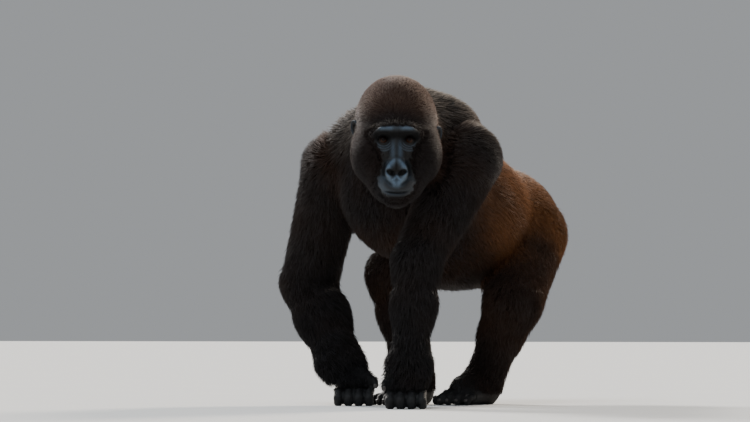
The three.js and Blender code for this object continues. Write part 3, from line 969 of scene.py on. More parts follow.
    def pale(self, p: Array, shares: Array, rough: Array) -> Array:
        """How pale the tips are: the withers, the forehead, over the brow and round the ears.

        Args:
            p: The points.
            shares: How much of each part there is at each point.
            rough: The coat's unevenness at each, about 0.

        Returns:
            How pale each point is.
        """
        x, y, z = HEAD.local(p).T
        head = shares[1]
        line = self.body.head.hairline - BROW_DROP * x * x
        brow_line = 0.75 * hump(z - line - 3, 3.6) * smooth(66, 48, np.abs(x)) * smooth(20, 40, y)
        by_ear = nearest(p, (place.origin for place in EAR.values()))
        fringe = 0.4 * hump(by_ear - 34, 9) * smooth(-4, -18, y + 10)
        patch = hump(np.hypot(z - 104, (y - 46) * 0.8), 40) * head
        withers = smooth(260, 0, p[:, 1]) * smooth(690, 800, p[:, 2]) * (1 - head)
        return 0.4 * withers * (1 + 2 * rough) + 0.2 * patch + brow_line + fringe

    def colours(self, p: Array, n: Array) -> dict:
        """The markings that the skin and the coat share, with the painted light and shade in the brown.

        Args:
            p: Points on the skin.
            n: The way out of the skin at each.

        Returns:
            brown, red and pale, from 0 to 1 at each point.
        """
        shares = self.shares(p)
        brown = self.brown(p, n, shares)
        rough = 0.10 * np.sin(p @ (0.021, 0.017, 0.026)) + 0.07 * np.sin(p @ (-0.047, 0.039, 0.033) + 2)
        return {
            "brown": np.clip(brown + rough * np.minimum(brown * 2, 1), 0, 1),
            "red": np.clip(self.red(p, shares) + rough * 0.6, 0, 1),
            "pale": np.clip(self.pale(p, shares, rough), 0, 1),
        }


# ------------------------------------------------------------------ meshes
def to_row(p: Array) -> Array:
    """Points of the body, in millimetres, as points of the part, in metres."""
    return (p + ORIGIN_SHIFT) * MM


def to_body(p: Array) -> Array:
    """Points of the part, in metres, as points of the body, in millimetres."""
    return p / MM - ORIGIN_SHIFT


def read_vectors(items: Any, key: str) -> Array:
    """A vector of each item of a mesh, such as the places of its vertices.

    Args:
        items: The vertices, or another of the mesh's lists.
        key: The vector's name.

    Returns:
        One row for each item.
    """
    flat = np.empty(len(items) * 3, np.float32)
    items.foreach_get(key, flat)
    return flat.reshape(-1, 3).astype(float)


def add_attribute(mesh: bpy.types.Mesh, name: str, values: Array) -> None:
    """Gives a mesh one number, or one vector, at each vertex.

    Args:
        mesh: The mesh.
        name: The attribute's name.
        values: A number or a vector for each vertex.
    """
    kind, key = ("FLOAT", "value") if values.ndim == 1 else ("FLOAT_VECTOR", "vector")
    layer = mesh.attributes.new(name, kind, "POINT")
    layer.data.foreach_set(key, values.astype(np.float32).ravel())


def smooth_faces(mesh: bpy.types.Mesh) -> None:
    """Shades a mesh as a smooth surface."""
    mesh.polygons.foreach_set("use_smooth", np.ones(len(mesh.polygons), bool))


def closed_mesh(bm: bmesh.types.BMesh, name: str) -> bpy.types.Mesh:
    """A closed bmesh as a smooth mesh with its faces pointing out; the bmesh is freed.

    Args:
        bm: The closed shape.
        name: The mesh's name.

    Returns:
        The mesh.
    """
    bmesh.ops.recalc_face_normals(bm, faces=bm.faces)
    mesh = bpy.data.meshes.new(name)
    bm.to_mesh(mesh)
    bm.free()
    smooth_faces(mesh)
    return mesh


def place_piece(name: str, mesh: bpy.types.Mesh, material: bpy.types.Material,
                nodes: Iterable[str], slot: str) -> bpy.types.Object:
    """Puts a mesh in the scene as a piece of the part.

    Args:
        name: The piece's name.
        mesh: Its mesh, in metres in the part's frame.
        material: The finish that it is dressed in.
        nodes: The nodes of the part that it stands for.
        slot: The material slot of the part that its finish belongs to; it is not used.

    Returns:
        The new object.
    """
    mesh.materials.append(material)
    piece = bpy.data.objects.new(name, mesh)
    bpy.context.scene.collection.objects.link(piece)
    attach(piece, BODY)
    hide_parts(*nodes)
    log.info("%s: %d triangles", name, len(mesh.loops) - 2 * len(mesh.polygons))
    return piece


# ------------------------------------------------------------------ shader maths
Socket = bpy.types.NodeSocket


def operator(operation: str, other_first: bool = False) -> Callable[["Value", Any], "Value"]:
    """A method of Value that puts it and another term through a Math node.

    Args:
        operation: The node's operation.
        other_first: Whether the other term comes first, as in 1 - value.

    Returns:
        The method.
    """

    def method(self: "Value", other: Any) -> "Value":
        """The two terms as a new value."""
        terms = (other, self) if other_first else (self, other)
        return self.maths(operation, *terms)

    return method


@dataclass(frozen=True)
class Value:
    """A socket that carries a number, with the sums that a pattern needs."""

    shader: "Shader"
    socket: Socket

    def maths(self, operation: str, *terms: Any, clamp: bool = False) -> "Value":
        """A Math node on terms, as a new value."""
        settings = {"operation": operation, "use_clamp": clamp}
        return self.shader.value("ShaderNodeMath", settings, dict(enumerate(terms)))

    __add__ = __radd__ = operator("ADD")
    __sub__, __rsub__ = operator("SUBTRACT"), operator("SUBTRACT", other_first=True)
    __mul__ = __rmul__ = operator("MULTIPLY")

    def clamped(self) -> "Value":
        """This, held between 0 and 1."""
        return self.maths("ADD", self, 0.0, clamp=True)

    def step(self, low: float, high: float) -> "Value":
        """A smooth step from 0 at low to 1 at high.

        Args:
            low: Where the step starts.
            high: Where it ends.

        Returns:
            The step.
        """
        settings = {"interpolation_type": "SMOOTHSTEP"}
        sockets = {"Value": self, "From Min": low, "From Max": high}
        return self.shader.value("ShaderNodeMapRange", settings, sockets)


class Shader:
    """A material made of one Principled surface and the nodes that feed it."""

    def __init__(self, name: str) -> None:
        """Starts an empty material.

        Args:
            name: The material's name.
        """
        self.material = bpy.data.materials.new(name)
        self.material.use_nodes = True
        self.tree = self.material.node_tree
        self.tree.nodes.clear()

    def node(self, kind: str, settings: dict | None = None, sockets: dict | None = None) -> bpy.types.Node:
        """Adds a node.

        Args:
            kind: The node's type.
            settings: Its own settings; a ramp's "stops" are pairs of place and colour.
            sockets: The value or link of each input, by name or number.

        Returns:
            The new node.
        """
        node = self.tree.nodes.new(kind)
        for key, value in (settings or {}).items():
            if key != "stops":
                setattr(node, key, value)
                continue
            ramp = node.color_ramp
            while len(ramp.elements) < len(value):
                ramp.elements.new(1.0)
            for element, (at, colour) in zip(ramp.elements, value):
                element.position, element.color = at, (*colour, 1.0)
        for key, value in (sockets or {}).items():
            target = node.inputs[key]
            if isinstance(value, Value):
                value = value.socket
            if isinstance(value, Socket):
                self.tree.links.new(value, target)
            elif isinstance(value, (tuple, list)) and len(target.default_value) == 4:
                target.default_value = (*value[:3], 1.0)
            else:
                target.default_value = value
        return node

    def value(self, kind: str, settings: dict | None = None, sockets: dict | None = None,
              out: int | str = 0) -> Value:
        """Adds a node and gives one of its outputs as a value."""
        return Value(self, self.node(kind, settings, sockets).outputs[out])

    def attribute(self, name: str) -> Value:
        """A number that the mesh carries at each vertex."""
        return self.value("ShaderNodeAttribute", {"attribute_name": name}, out="Fac")

    def here(self) -> Socket:
        """The point on the piece, in metres."""
        return self.node("ShaderNodeTexCoord").outputs["Object"]

    def noise(self, at: Socket, scale: float, detail: float = 3.0, rough: float = 0.5) -> Value:
        """Cloudy noise, from 0 to 1."""
        sockets = {"Vector": at, "Scale": scale, "Detail": detail, "Roughness": rough}
        return self.value("ShaderNodeTexNoise", {}, sockets)

    def cells(self, at: Socket, scale: float) -> Value:
        """The distance to the edges of small cells, as on creased skin."""
        settings = {"feature": "DISTANCE_TO_EDGE"}
        return self.value("ShaderNodeTexVoronoi", settings, {"Vector": at, "Scale": scale})

    def mix(self, share: Any, first: Any, second: Any, way: str = "MIX") -> Socket:
        """Two colours mixed: the first where share is 0."""
        settings = {"data_type": "RGBA", "blend_type": way}
        return self.node("ShaderNodeMix", settings, {0: share, 6: first, 7: second}).outputs[2]

    def grey(self, value: Value) -> Socket:
        """A number as a grey colour."""
        return self.node("ShaderNodeCombineColor", {}, {0: value, 1: value, 2: value}).outputs[0]

    def bump(self, height: Value, distance: float, strength: float) -> Socket:
        """The normal of a surface raised by height times distance, in metres."""
        sockets = {"Height": height, "Distance": distance, "Strength": strength}
        return self.node("ShaderNodeBump", {}, sockets).outputs[0]

    def finish(self, sockets: dict) -> bpy.types.Material:
        """Closes the material with its surface.

        Args:
            sockets: The inputs of the Principled surface, by name.

        Returns:
            The material.
        """
        surface = self.node("ShaderNodeBsdfPrincipled", {}, sockets)
        self.node("ShaderNodeOutputMaterial", {}, {"Surface": surface.outputs[0]})
        return self.material


Colour = tuple


@dataclass(frozen=True)
class CoatFinish:
    """Fur: near black, brown or red-brown, and paler at the tips, with a painted grey sheen on black tips,
    painted shade towards the roots and a painted glow towards the tips.
    """

    black: Colour = (0.0066, 0.0061, 0.0066)
    # The cool grey of a painted sheen on the tips of black hair.
    tip: Colour = (0.030, 0.030, 0.034)
    brown: Colour = (0.165, 0.067, 0.024)
    red: Colour = (0.048, 0.020, 0.011)
    pale: Colour = (0.21, 0.18, 0.155)
    roughness: float = 0.66
    specular: float = 0.14

    def base(self, shader: Shader) -> Socket:
        """The markings that the skin and the coat share, up to the pale of the tips."""
        colour = shader.mix(shader.attribute("brown"), self.black, self.brown)
        return shader.mix(shader.attribute("red"), colour, self.red)

    def material(self) -> bpy.types.Material:
        """The material of the tufts.

        Returns:
            The material.
        """
        s = Shader("fur")
        along, shade = s.attribute("along"), s.attribute("shade")
        tips = s.attribute("pale") * (along * 0.9 + 0.1) * (shade * 1.2 + 0.4)
        # Painted sheen: the tips of black hair turn cool grey.
        worn = along * along * shade * (1.0 - s.attribute("brown")) * (1.0 - s.attribute("red")) * 0.9
        colour = s.mix(tips.clamped(), s.mix(worn, self.base(s), self.tip), self.pale)
        streak = s.noise(s.here(), 14.0) * 0.5 + 0.75
        # Painted shade towards the roots and a painted glow towards the tips, times each tuft's own tone
        # and the streaks.
        light = (along * 0.7 + 0.45) * (shade * 0.7 + 0.65) * streak
        colour = s.mix(1.0, colour, s.grey(light), "MULTIPLY")
        return s.finish({
            "Base Color": colour, "Roughness": self.roughness, "Specular IOR Level": self.specular,
        })


@dataclass(frozen=True)
class SkinFinish:
    """Bare skin: near black, creased and satin, with painted bluish highlights and painted shade in its
    creases and hollows; dull and dark under the coat.
    """

    bare: Colour = (0.0055, 0.0052, 0.0055)
    mottled: Colour = (0.0125, 0.0120, 0.0125)
    # The blue-grey of a painted highlight.
    worn: Colour = (0.082, 0.122, 0.170)
    # The near black of painted shade in creases, nostrils and hollows.
    crease: Colour = (0.0016, 0.0015, 0.0018)
    scalp: Colour = (0.004, 0.0035, 0.003)  # mixed with the coat's colour under the fur
    roughness: float = 0.58
    specular: float = 0.26
    coat: CoatFinish = CoatFinish()

    def material(self) -> bpy.types.Material:
        """The material of the skin.

        Returns:
            The material.
        """
        s = Shader("skin")
        here, bare = s.here(), s.attribute("bare")
        patches, pores = s.noise(here, 22.0), s.noise(here, 420.0, 4.0, 0.6)
        lines = s.cells(here, 240.0).step(0.0, 0.16)
        fine = s.cells(here, 520.0).step(0.0, 0.2)
        polish, crease = s.attribute("polish"), s.attribute("crease")
        colour = s.mix(patches.step(0.35, 0.75), self.bare, self.mottled)
        # Painted bluish highlight where the skin is smooth, broken up by noise.
        colour = s.mix((polish * (patches * 0.9 + pores * 0.9)).clamped(), colour, self.worn)
        # Painted shade along the skin's fine creases and in the face's creases, nostrils and sockets.
        colour = s.mix(((1.0 - lines) * 0.16 + crease * 0.98).clamped(), colour, self.crease)
        under = s.mix(0.5, self.coat.base(s), self.scalp)
        rough = self.roughness - 0.20 * polish + 0.12 * patches + 0.25 * (1.0 - bare) + 0.35 * crease
        height = lines * 0.30 + fine * 0.2 + pores * 0.35
        return s.finish({
            "Base Color": s.mix(bare, under, colour), "Roughness": rough,
            "Specular IOR Level": self.specular, "Normal": s.bump(height, 0.0007, 0.8),
        })


@dataclass(frozen=True)
class EyeFinish:
    """A wet eye: black pupil, brown iris, dark brown round it."""

    pupil: Colour = (0.001, 0.001, 0.001)
    iris: Colour = (0.026, 0.009, 0.003)
    rim: Colour = (0.005, 0.0025, 0.002)
    white: Colour = (0.012, 0.007, 0.005)

    def material(self) -> bpy.types.Material:
        """The material of the eyes.

        Returns:
            The material.
        """
        s = Shader("eye")
        out = s.attribute("out")
        stops = [(0.0, self.pupil), (0.17, self.pupil), (0.22, self.iris), (0.40, self.iris),
                 (0.47, self.rim), (0.60, self.white), (1.0, self.white)]
        ring = s.node("ShaderNodeValToRGB", {"stops": stops}, {0: out})
        threads = s.noise(s.here(), 900.0, 4.0)
        # The top of the eye darkened by the painted shadow of the lid, and mottled by threads.
        colour = s.mix((threads * 0.5 + s.attribute("lidded") * 0.9).clamped(), ring.outputs[0], self.rim)
        return s.finish({"Base Color": colour, "Roughness": 0.25 + 0.1 * threads,
                         "Coat Weight": 0.06, "Coat Roughness": 0.04, "Specular IOR Level": 0.08})


@dataclass(frozen=True)
class NailFinish:
    """A nail: dark horn with fine lengthwise grain."""

    dark: Colour = (0.016, 0.013, 0.012)
    light: Colour = (0.060, 0.048, 0.042)

    def material(self) -> bpy.types.Material:
        """The material of the nails.

        Returns:
            The material.
        """
        s = Shader("nail")
        grain = s.noise(s.here(), 260.0, 4.0, 0.65)
        colour = s.mix(grain.step(0.3, 0.75), self.dark, self.light)
        return s.finish({"Base Color": colour, "Roughness": 0.30 + 0.25 * grain,
                         "Normal": s.bump(grain, 0.0004, 0.6)})


@dataclass(frozen=True)
class FloorFinish:
    """The studio floor: pale and even, with a trace of grain."""

    colour: Colour = (0.60, 0.60, 0.59)
    cloudy: Colour = (0.64, 0.64, 0.63)

    def material(self) -> bpy.types.Material:
        """The material of the floor.

        Returns:
            The material.
        """
        s = Shader("studio_floor")
        cloud = s.noise(s.here(), 3.0, 5.0)
        colour = s.mix(cloud, self.colour, self.cloudy)
        return s.finish({"Base Color": colour, "Roughness": 0.9, "Specular IOR Level": 0.1})


# ------------------------------------------------------------------ the pieces
@dataclass
class Skin:
    """One skin over head, trunk, limbs, hands and feet."""

    body: Body
    coat: CoatMap
    nodes: list
    voxel: float = 8.3
    swell: float = 0.5  # how far each node grows to meet its neighbours
    web_radius: float = 11.0
    farthest: float = 8.0  # that a vertex moves in one round
    ground: float = 0.3  # the lowest that the skin reaches
    finish: SkinFinish = SkinFinish()

    def flesh(self) -> bpy.types.Mesh:
        """The nodes of flesh, grown until they overlap and joined in one mesh.

        Returns:
            The mesh.
        """
        whole = bmesh.new()
        for name in self.nodes:
            part = bmesh.new()
            part.from_mesh(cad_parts[name].data)
            bmesh.ops.remove_doubles(part, verts=part.verts, dist=0.01 * MM)
            part.normal_update()
            for v in part.verts:
                v.co += v.normal * self.swell * MM
            mesh = bpy.data.meshes.new("part")
            part.to_mesh(mesh)
            whole.from_mesh(mesh)
            part.free()
            bpy.data.meshes.remove(mesh)
        for side in Side:
            ends = [HAND[side].at(*e) for e in self.body.limbs.web(side)]
            for t in np.linspace(0, 1, 5):
                at = Matrix.Translation(to_row(ends[0] * (1 - t) + ends[1] * t))
                bmesh.ops.create_icosphere(whole, subdivisions=2, radius=self.web_radius * MM, matrix=at)
        mesh = bpy.data.meshes.new("flesh")
        whole.to_mesh(mesh)
        whole.free()
        return mesh

    def remeshed(self) -> bpy.types.Mesh:
        """The flesh as one closed skin of even faces.

        Returns:
            The mesh.
        """
        lump = bpy.data.objects.new("lump", self.flesh())
        bpy.context.scene.collection.objects.link(lump)
        remesh = lump.modifiers.new("remesh", "REMESH")
        remesh.mode = "VOXEL"
        remesh.voxel_size = self.voxel * MM
        depsgraph = bpy.context.evaluated_depsgraph_get()
        mesh = bpy.data.meshes.new_from_object(lump.evaluated_get(depsgraph))
        bpy.data.objects.remove(lump)
        return mesh

    def settle(self, bm: bmesh.types.BMesh, rounds: int, ease: int = 0,
               where: Callable[[Array], Array] | None = None) -> None:
        """Draws vertices to the flesh's surface, inside the outline by the coat's depth.

        Args:
            bm: The skin.
            rounds: How many times the vertices are drawn in.
            ease: How many times the skin is smoothed first.
            where: Which points to draw in; all of them if it is left out.
        """
        p = to_body(np.array([v.co for v in bm.verts]))
        mine = np.flatnonzero(where(p) if where else np.ones(len(p), bool))
        bm.verts.ensure_lookup_table()
        moved = [bm.verts[i] for i in mine]
        for _ in range(ease):
            bmesh.ops.smooth_vert(bm, verts=moved, factor=0.5, use_axis_x=True,
                                  use_axis_y=True, use_axis_z=True)
        q = to_body(np.array([v.co for v in moved]))
        for _ in range(rounds):
            off, out = self.body.probe(q)
            q -= out * np.clip(off + self.coat.depth(q), -self.farthest, self.farthest)[:, None]
        q[:, 2] = np.maximum(q[:, 2], self.ground)
        for v, co in zip(moved, to_row(q)):
            v.co = co

    def refine(self, bm: bmesh.types.BMesh, wanted: Callable[[Array], Array]) -> None:
        """Splits the faces whose middles are wanted into four.

        Args:
            bm: The skin.
            wanted: Which points to refine it at.
        """
        middles = to_body(np.array([f.calc_center_median() for f in bm.faces]))
        faces = [f for f, w in zip(list(bm.faces), wanted(middles)) if w]
        edges = list({e for f in faces for e in f.edges})
        bmesh.ops.subdivide_edges(bm, edges=edges, cuts=1, use_grid_fill=True)

    def near_face(self, p: Array) -> Array:
        """Whether points are on the face."""
        x, y, z = HEAD.local(p).T
        return (y > 14) & (np.abs(x) < 74) & (z > -186) & (z < 48)

    def near_front(self, p: Array) -> Array:
        """Whether points are on the front of the face."""
        return self.near_face(p) & (HEAD.local(p)[:, 1] > 30)

    def near_openings(self, p: Array) -> Array:
        """Whether points are round the eyes, in the nostrils or between the lips.

        Args:
            p: The points.

        Returns:
            Yes or no for each.
        """
        x, y, z = HEAD.local(p).T
        ax = np.abs(x)
        eye = np.linalg.norm(np.stack([ax - EYE_X, y - EYE_Y - 6, z - EYE_Z], 1), axis=1) < 22
        nostril = (ax < 34) & (np.abs(z + 90) < 17)
        lips = (ax < 37) & (np.abs(z + 142) < 9)
        return eye | ((nostril | lips) & (y > 84))

    def near_detail(self, p: Array) -> Array:
        """Whether points are on the face, the hands or the feet.

        Args:
            p: The points.

        Returns:
            Yes or no for each.
        """
        hands = nearest(p, (place.at(0, 0, 40) for place in HAND.values()))
        feet = nearest(p, (place.at(0, 90, 20) for place in FOOT.values()))
        return self.near_face(p) | (((hands < 90) | (feet < 95)) & (p[:, 2] < 100))

    def largest(self, bm: bmesh.types.BMesh) -> None:
        """Keeps the one skin and drops any pocket inside it.

        Args:
            bm: The skin.
        """
        left, best = set(bm.verts), set()
        while left:
            island, front = set(), {left.pop()}
            while front:
                island |= front
                front = {e.other_vert(v) for v in front for e in v.link_edges} - island
            left -= island
            best = max(best, island, key=len)
        bmesh.ops.delete(bm, geom=[v for v in bm.verts if v not in best], context="VERTS")

    def mesh(self) -> bpy.types.Mesh:
        """The skin's closed mesh, settled on the flesh and refined on the face, hands and feet.

        Returns:
            The mesh.
        """
        base = self.remeshed()
        bm = bmesh.new()
        bm.from_mesh(base)
        self.largest(bm)
        log.info("skin: %d faces to start with", len(bm.faces))
        bpy.data.meshes.remove(base)
        self.settle(bm, 4)
        self.settle(bm, 2, ease=2)
        # Each step: the faces to split, the vertices to settle, and how often they are eased each time.
        steps = ((self.near_detail, self.near_detail, (0,)), (self.near_front, self.near_face, (0, 1)),
                 (self.near_openings, self.near_openings, (0, 2)))
        for wanted, where, eases in steps:
            self.refine(bm, wanted)
            for ease in eases:
                self.settle(bm, 2, ease, where)
        return closed_mesh(bm, "skin")

    def build(self) -> bpy.types.Object:
        """Makes the skin and dresses it.

        Returns:
            The skin's object.
        """
        mesh = self.mesh()
        p = to_body(read_vectors(mesh.vertices, "co"))
        n = self.body.slopes(p)
        for name, values in self.coat.colours(p, n).items():
            add_attribute(mesh, name, values)
        shares = self.coat.shares(p)
        hands = sum(s for s, part in zip(shares, self.coat.parts)
                    if part.name.split("_")[0] in ("hand", "foot", "digits"))
        bare = np.maximum(self.body.head.bare(p), hands)
        add_attribute(mesh, "bare", np.clip(bare, 0, 1))
        # The face's painted bluish highlights, where the skin is also smoother.
        add_attribute(mesh, "polish", self.body.head.polish(p))
        # Painted shade on the face.
        add_attribute(mesh, "crease", self.body.head.shade(p) * self.near_face(p))
        return place_piece("skin", mesh, self.finish.material(), self.nodes, "skin")


TUFT_POINTS = 5  # root, left, right, ridge and tip
VARIETY = (0.7, 1.25)  # how much shorter or longer, and slimmer or wider, tufts are


@dataclass
class Coat:
    """Tufts of fur over the skin, in one piece for each region."""

    body: Body
    coat: CoatMap
    skin: bpy.types.Object
    seed: int = 7
    most: int = 33000  # tufts in one piece
    patch: float = 0.003  # width of a tuft's patch on the unwrap
    blur: float = 42.0  # how far one part's lie fades into the next
    sway: float = 0.17  # how far tufts turn from the lie
    strays: float = 0.04  # the share of tufts that stand out
    lowest: float = 0.4  # that a tuft reaches above the ground
    end_radius: float = 90.0  # of the round ends of a part on the unwrap
    end_room: float = 145.0  # and their length there
    finish: CoatFinish = CoatFinish()

    # Each piece: its name, the parts whose fur it holds, its nodes and its slot. region_of parts
    # the cheeks from the crown, and the trunk into its four pieces.
    regions: tuple = (
        ("crown", ("head",), ("head",), "crown"),
        ("cheeks", (), ("head",), "crown"),
        ("neck", ("trunk",), ("neck",), "coat_back"),
        ("chest", ("trunk",), ("chest",), "coat"),
        ("belly", ("trunk",), ("belly",), "coat"),
        ("rump", ("trunk",), ("rump",), "coat_back"),
    )

    def limb_regions(self) -> list:
        """The regions of the arms and the legs, one for each side.

        Returns:
            The regions, set out as the fixed ones are.
        """
        out = []
        for side in Side:
            w = side.word
            arm = tuple(f"{n}_{w}" for n in ("upper_arm", "forearm", "hand"))
            leg = tuple(f"{n}_{w}" for n in ("thigh", "shank", "foot"))
            out.append((f"arm_{w}", arm + (f"digits_{w}",), arm, "coat"))
            out.append((f"leg_{w}", leg, leg, "coat_back"))
        return out

    def roots(self, rng: np.random.Generator) -> tuple:
        """Strews the roots of all tufts over the skin.

        Args:
            rng: Where the chances come from.

        Returns:
            The roots and the way out of the skin at each, in the body's frame.
        """
        mesh = self.skin.data
        mesh.calc_loop_triangles()
        corners = np.empty(len(mesh.loop_triangles) * 3, np.int32)
        mesh.loop_triangles.foreach_get("vertices", corners)
        corners = corners.reshape(-1, 3)
        p = to_body(read_vectors(mesh.vertices, "co"))
        normals = read_vectors(mesh.vertex_normals, "vector")
        a, b, c = (p[corners[:, i]] for i in range(3))
        area = np.linalg.norm(np.cross(b - a, c - a), axis=1) / 2 * MM * MM
        middle = (a + b + c) / 3
        n = units(normals[corners].mean(axis=1))
        dense = self.coat.mix(self.coat.shares(middle), "thickness")
        dense *= 1 - self.coat.hairless(middle, n)
        counts = rng.poisson(area * dense)
        pick = np.repeat(np.arange(len(corners)), counts)
        u, v = rng.random(len(pick)), rng.random(len(pick))
        flip = u + v > 1
        u[flip], v[flip] = 1 - u[flip], 1 - v[flip]
        w = np.stack([1 - u - v, u, v], axis=1)[:, :, None]
        return (p[corners[pick]] * w).sum(axis=1), units((normals[corners[pick]] * w).sum(axis=1))

    def region_of(self, p: Array, top: Array) -> Array:
        """The number of the region that each root belongs to.

        Args:
            p: The roots.
            top: The number of the part that each belongs to.

        Returns:
            The numbers, in the order of the fixed regions and then the limbs'.
        """
        names = [part.name for part in self.coat.parts]
        out = np.zeros(len(p), int)
        for number, (_, parts, _, _) in enumerate([*self.regions, *self.limb_regions()]):
            out[np.isin(top, [names.index(n) for n in parts])] = number
        trunk = top == names.index("trunk")
        y = p[trunk, 1]
        cut, ahead = NECK_CUT
        neck = (p[trunk] - cut) @ unit(ahead) > 0
        crown, cheeks, *trunk_pieces = range(len(self.regions))
        out[trunk] = np.select([neck, y < CHEST_END, y < BELLY_END], trunk_pieces[:3], trunk_pieces[3])
        out[(out == crown) & (HEAD.local(p)[:, 2] < CROWN_LOW)] = cheeks
        return out

    def unwrap(self, p: Array, top: Array) -> Array:
        """Where roots lie on the skin's unwrap: round each part's middle line, and along it.

        Args:
            p: The roots.
            top: The number of the part that each belongs to.

        Returns:
            The place of each on the map, from 0 to 1 both ways.
        """
        uv = np.zeros((len(p), 2))
        strips = sorted(set(top.tolist()))
        for strip, number in enumerate(strips):
            mine = top == number
            a, b = (np.array(e, float) for e in self.coat.parts[number].axis)
            axis, length = unit(b - a), np.linalg.norm(b - a)
            side = unit(np.cross(axis, (0.31, 0.27, 0.91)))
            q = p[mine] - a
            t = q @ axis
            x, y = q @ side, q @ np.cross(axis, side)
            radius = np.hypot(x, y)
            over = np.arctan2(np.minimum(t, 0) + np.maximum(t - length, 0), radius)
            run = np.clip(t, 0, length) + over * self.end_radius
            v = (run + self.end_room) / (length + 2 * self.end_room)
            uv[mine, 0] = 0.01 + 0.98 * (np.arctan2(y, x) / math.tau + 0.5)
            uv[mine, 1] = (strip + np.clip(v, 0.02, 0.98)) / len(strips)
        return uv

    def tufts(self, p: Array, n: Array, rng: np.random.Generator) -> dict:
        """Grows a tuft on each root: a slim spindle from the skin to the outline.

        Args:
            p: The roots.
            n: The way out of the skin at each.
            rng: Where the chances come from.

        Returns:
            The points, TUFT_POINTS for each tuft, and the numbers that each point carries.
        """
        count = len(p)
        shares = self.coat.shares(p)
        way = self.coat.lie(p, n, self.coat.shares(p, self.blur))
        side = np.cross(n, way)
        turn = rng.normal(0, self.sway, count)[:, None]
        way, side = units(way + side * turn), units(side - way * turn)
        fade = 1 - 0.55 * smooth(0.0, 0.6, self.coat.hairless(p, n))
        length = self.coat.mix(shares, "length") * rng.uniform(*VARIETY, count) * fade
        spare = self.coat.overhang(p)
        high = (self.coat.depth(p) + spare) * rng.uniform(0.45, 1.02, count)
        stray = rng.random(count) < self.strays
        high[stray] *= 1.25
        high = np.minimum(high, length * 0.75) + 1.0
        width = self.coat.mix(shares, "width") * rng.uniform(*VARIETY, count)
        reach = np.sqrt(np.maximum(length**2 - high**2, 1))
        bend = rng.normal(0, 0.05, count) * length
        proud = self.body.outline(p + way * reach[:, None] + n * high[:, None]) - spare
        reach *= 1 - 0.5 * smooth(4, 18, proud)
        lift, run, w = high[:, None], reach[:, None], width[:, None]
        root = p - n * 1.5
        mid = p + way * run * 0.42 + n * lift * 0.62 + side * bend[:, None]
        tip = p + way * run + n * lift
        proud = self.body.outline(tip) - 1.5 - spare - np.where(stray, 5.0, 0.0)
        tip -= n * np.clip(proud, 0, 40)[:, None]
        left, right, ridge = mid + side * w / 2, mid - side * w / 2, mid + n * w * 0.42
        points = np.stack([root, left, right, ridge, tip], axis=1)
        points[:, :, 2] = np.maximum(points[:, :, 2], self.lowest)
        carried = {k: np.repeat(v, TUFT_POINTS) for k, v in self.coat.colours(p, n).items()}
        carried["shade"] = np.repeat(rng.random(count), TUFT_POINTS)
        carried["along"] = np.tile([0.0, 0.45, 0.45, 0.5, 1.0], count)
        return {"points": points.reshape(-1, 3), "carried": carried}

    def mesh(self, name: str, grown: dict, uv: Array) -> bpy.types.Mesh:
        """The tufts of one region as one mesh.

        Args:
            name: The mesh's name.
            grown: The tufts.
            uv: Where each root lies on the unwrap.

        Returns:
            The mesh.
        """
        # Three faces meet at the root, 0, and three at the tip, 4.
        faces = np.array([[0, 2, 1], [0, 3, 2], [0, 1, 3], [4, 1, 2], [4, 2, 3], [4, 3, 1]])
        count = len(uv)
        corners = (faces[None] + TUFT_POINTS * np.arange(count)[:, None, None]).reshape(-1)
        mesh = bpy.data.meshes.new(name)
        mesh.vertices.add(count * TUFT_POINTS)
        mesh.loops.add(len(corners))
        mesh.polygons.add(len(corners) // 3)
        mesh.vertices.foreach_set("co", to_row(grown["points"]).astype(np.float32).ravel())
        mesh.loops.foreach_set("vertex_index", corners.astype(np.int32))
        mesh.polygons.foreach_set("loop_start", np.arange(0, len(corners), 3, dtype=np.int32))
        smooth_faces(mesh)
        mesh.update(calc_edges=True)
        for key, values in grown["carried"].items():
            add_attribute(mesh, key, values)
        spread = np.array([[-0.5, 0], [0, 0.5], [0, -0.5], [0.08, 0.02], [0.5, 0]]) * self.patch
        placed = (uv[:, None] + spread).reshape(-1, 2)[corners]
        layer = mesh.uv_layers.new(name="OFBake")
        layer.data.foreach_set("uv", placed.astype(np.float32).ravel())
        return mesh

    def build(self) -> None:
        """Makes every piece of the coat and dresses it."""
        rng = np.random.default_rng(self.seed)
        p, n = self.roots(rng)
        top = self.coat.shares(p).argmax(axis=0)
        number = self.region_of(p, top)
        material = self.finish.material()
        for i, (name, _, nodes, slot) in enumerate([*self.regions, *self.limb_regions()]):
            mine = np.flatnonzero(number == i)
            if len(mine) > self.most:
                log.info("coat_%s: %d tufts thinned to %d", name, len(mine), self.most)
                mine = np.sort(rng.choice(mine, self.most, replace=False))
            grown = self.tufts(p[mine], n[mine], rng)
            mesh = self.mesh(f"coat_{name}", grown, self.unwrap(p[mine], top[mine]))
            place_piece(f"coat_{name}", mesh, material, nodes, slot)


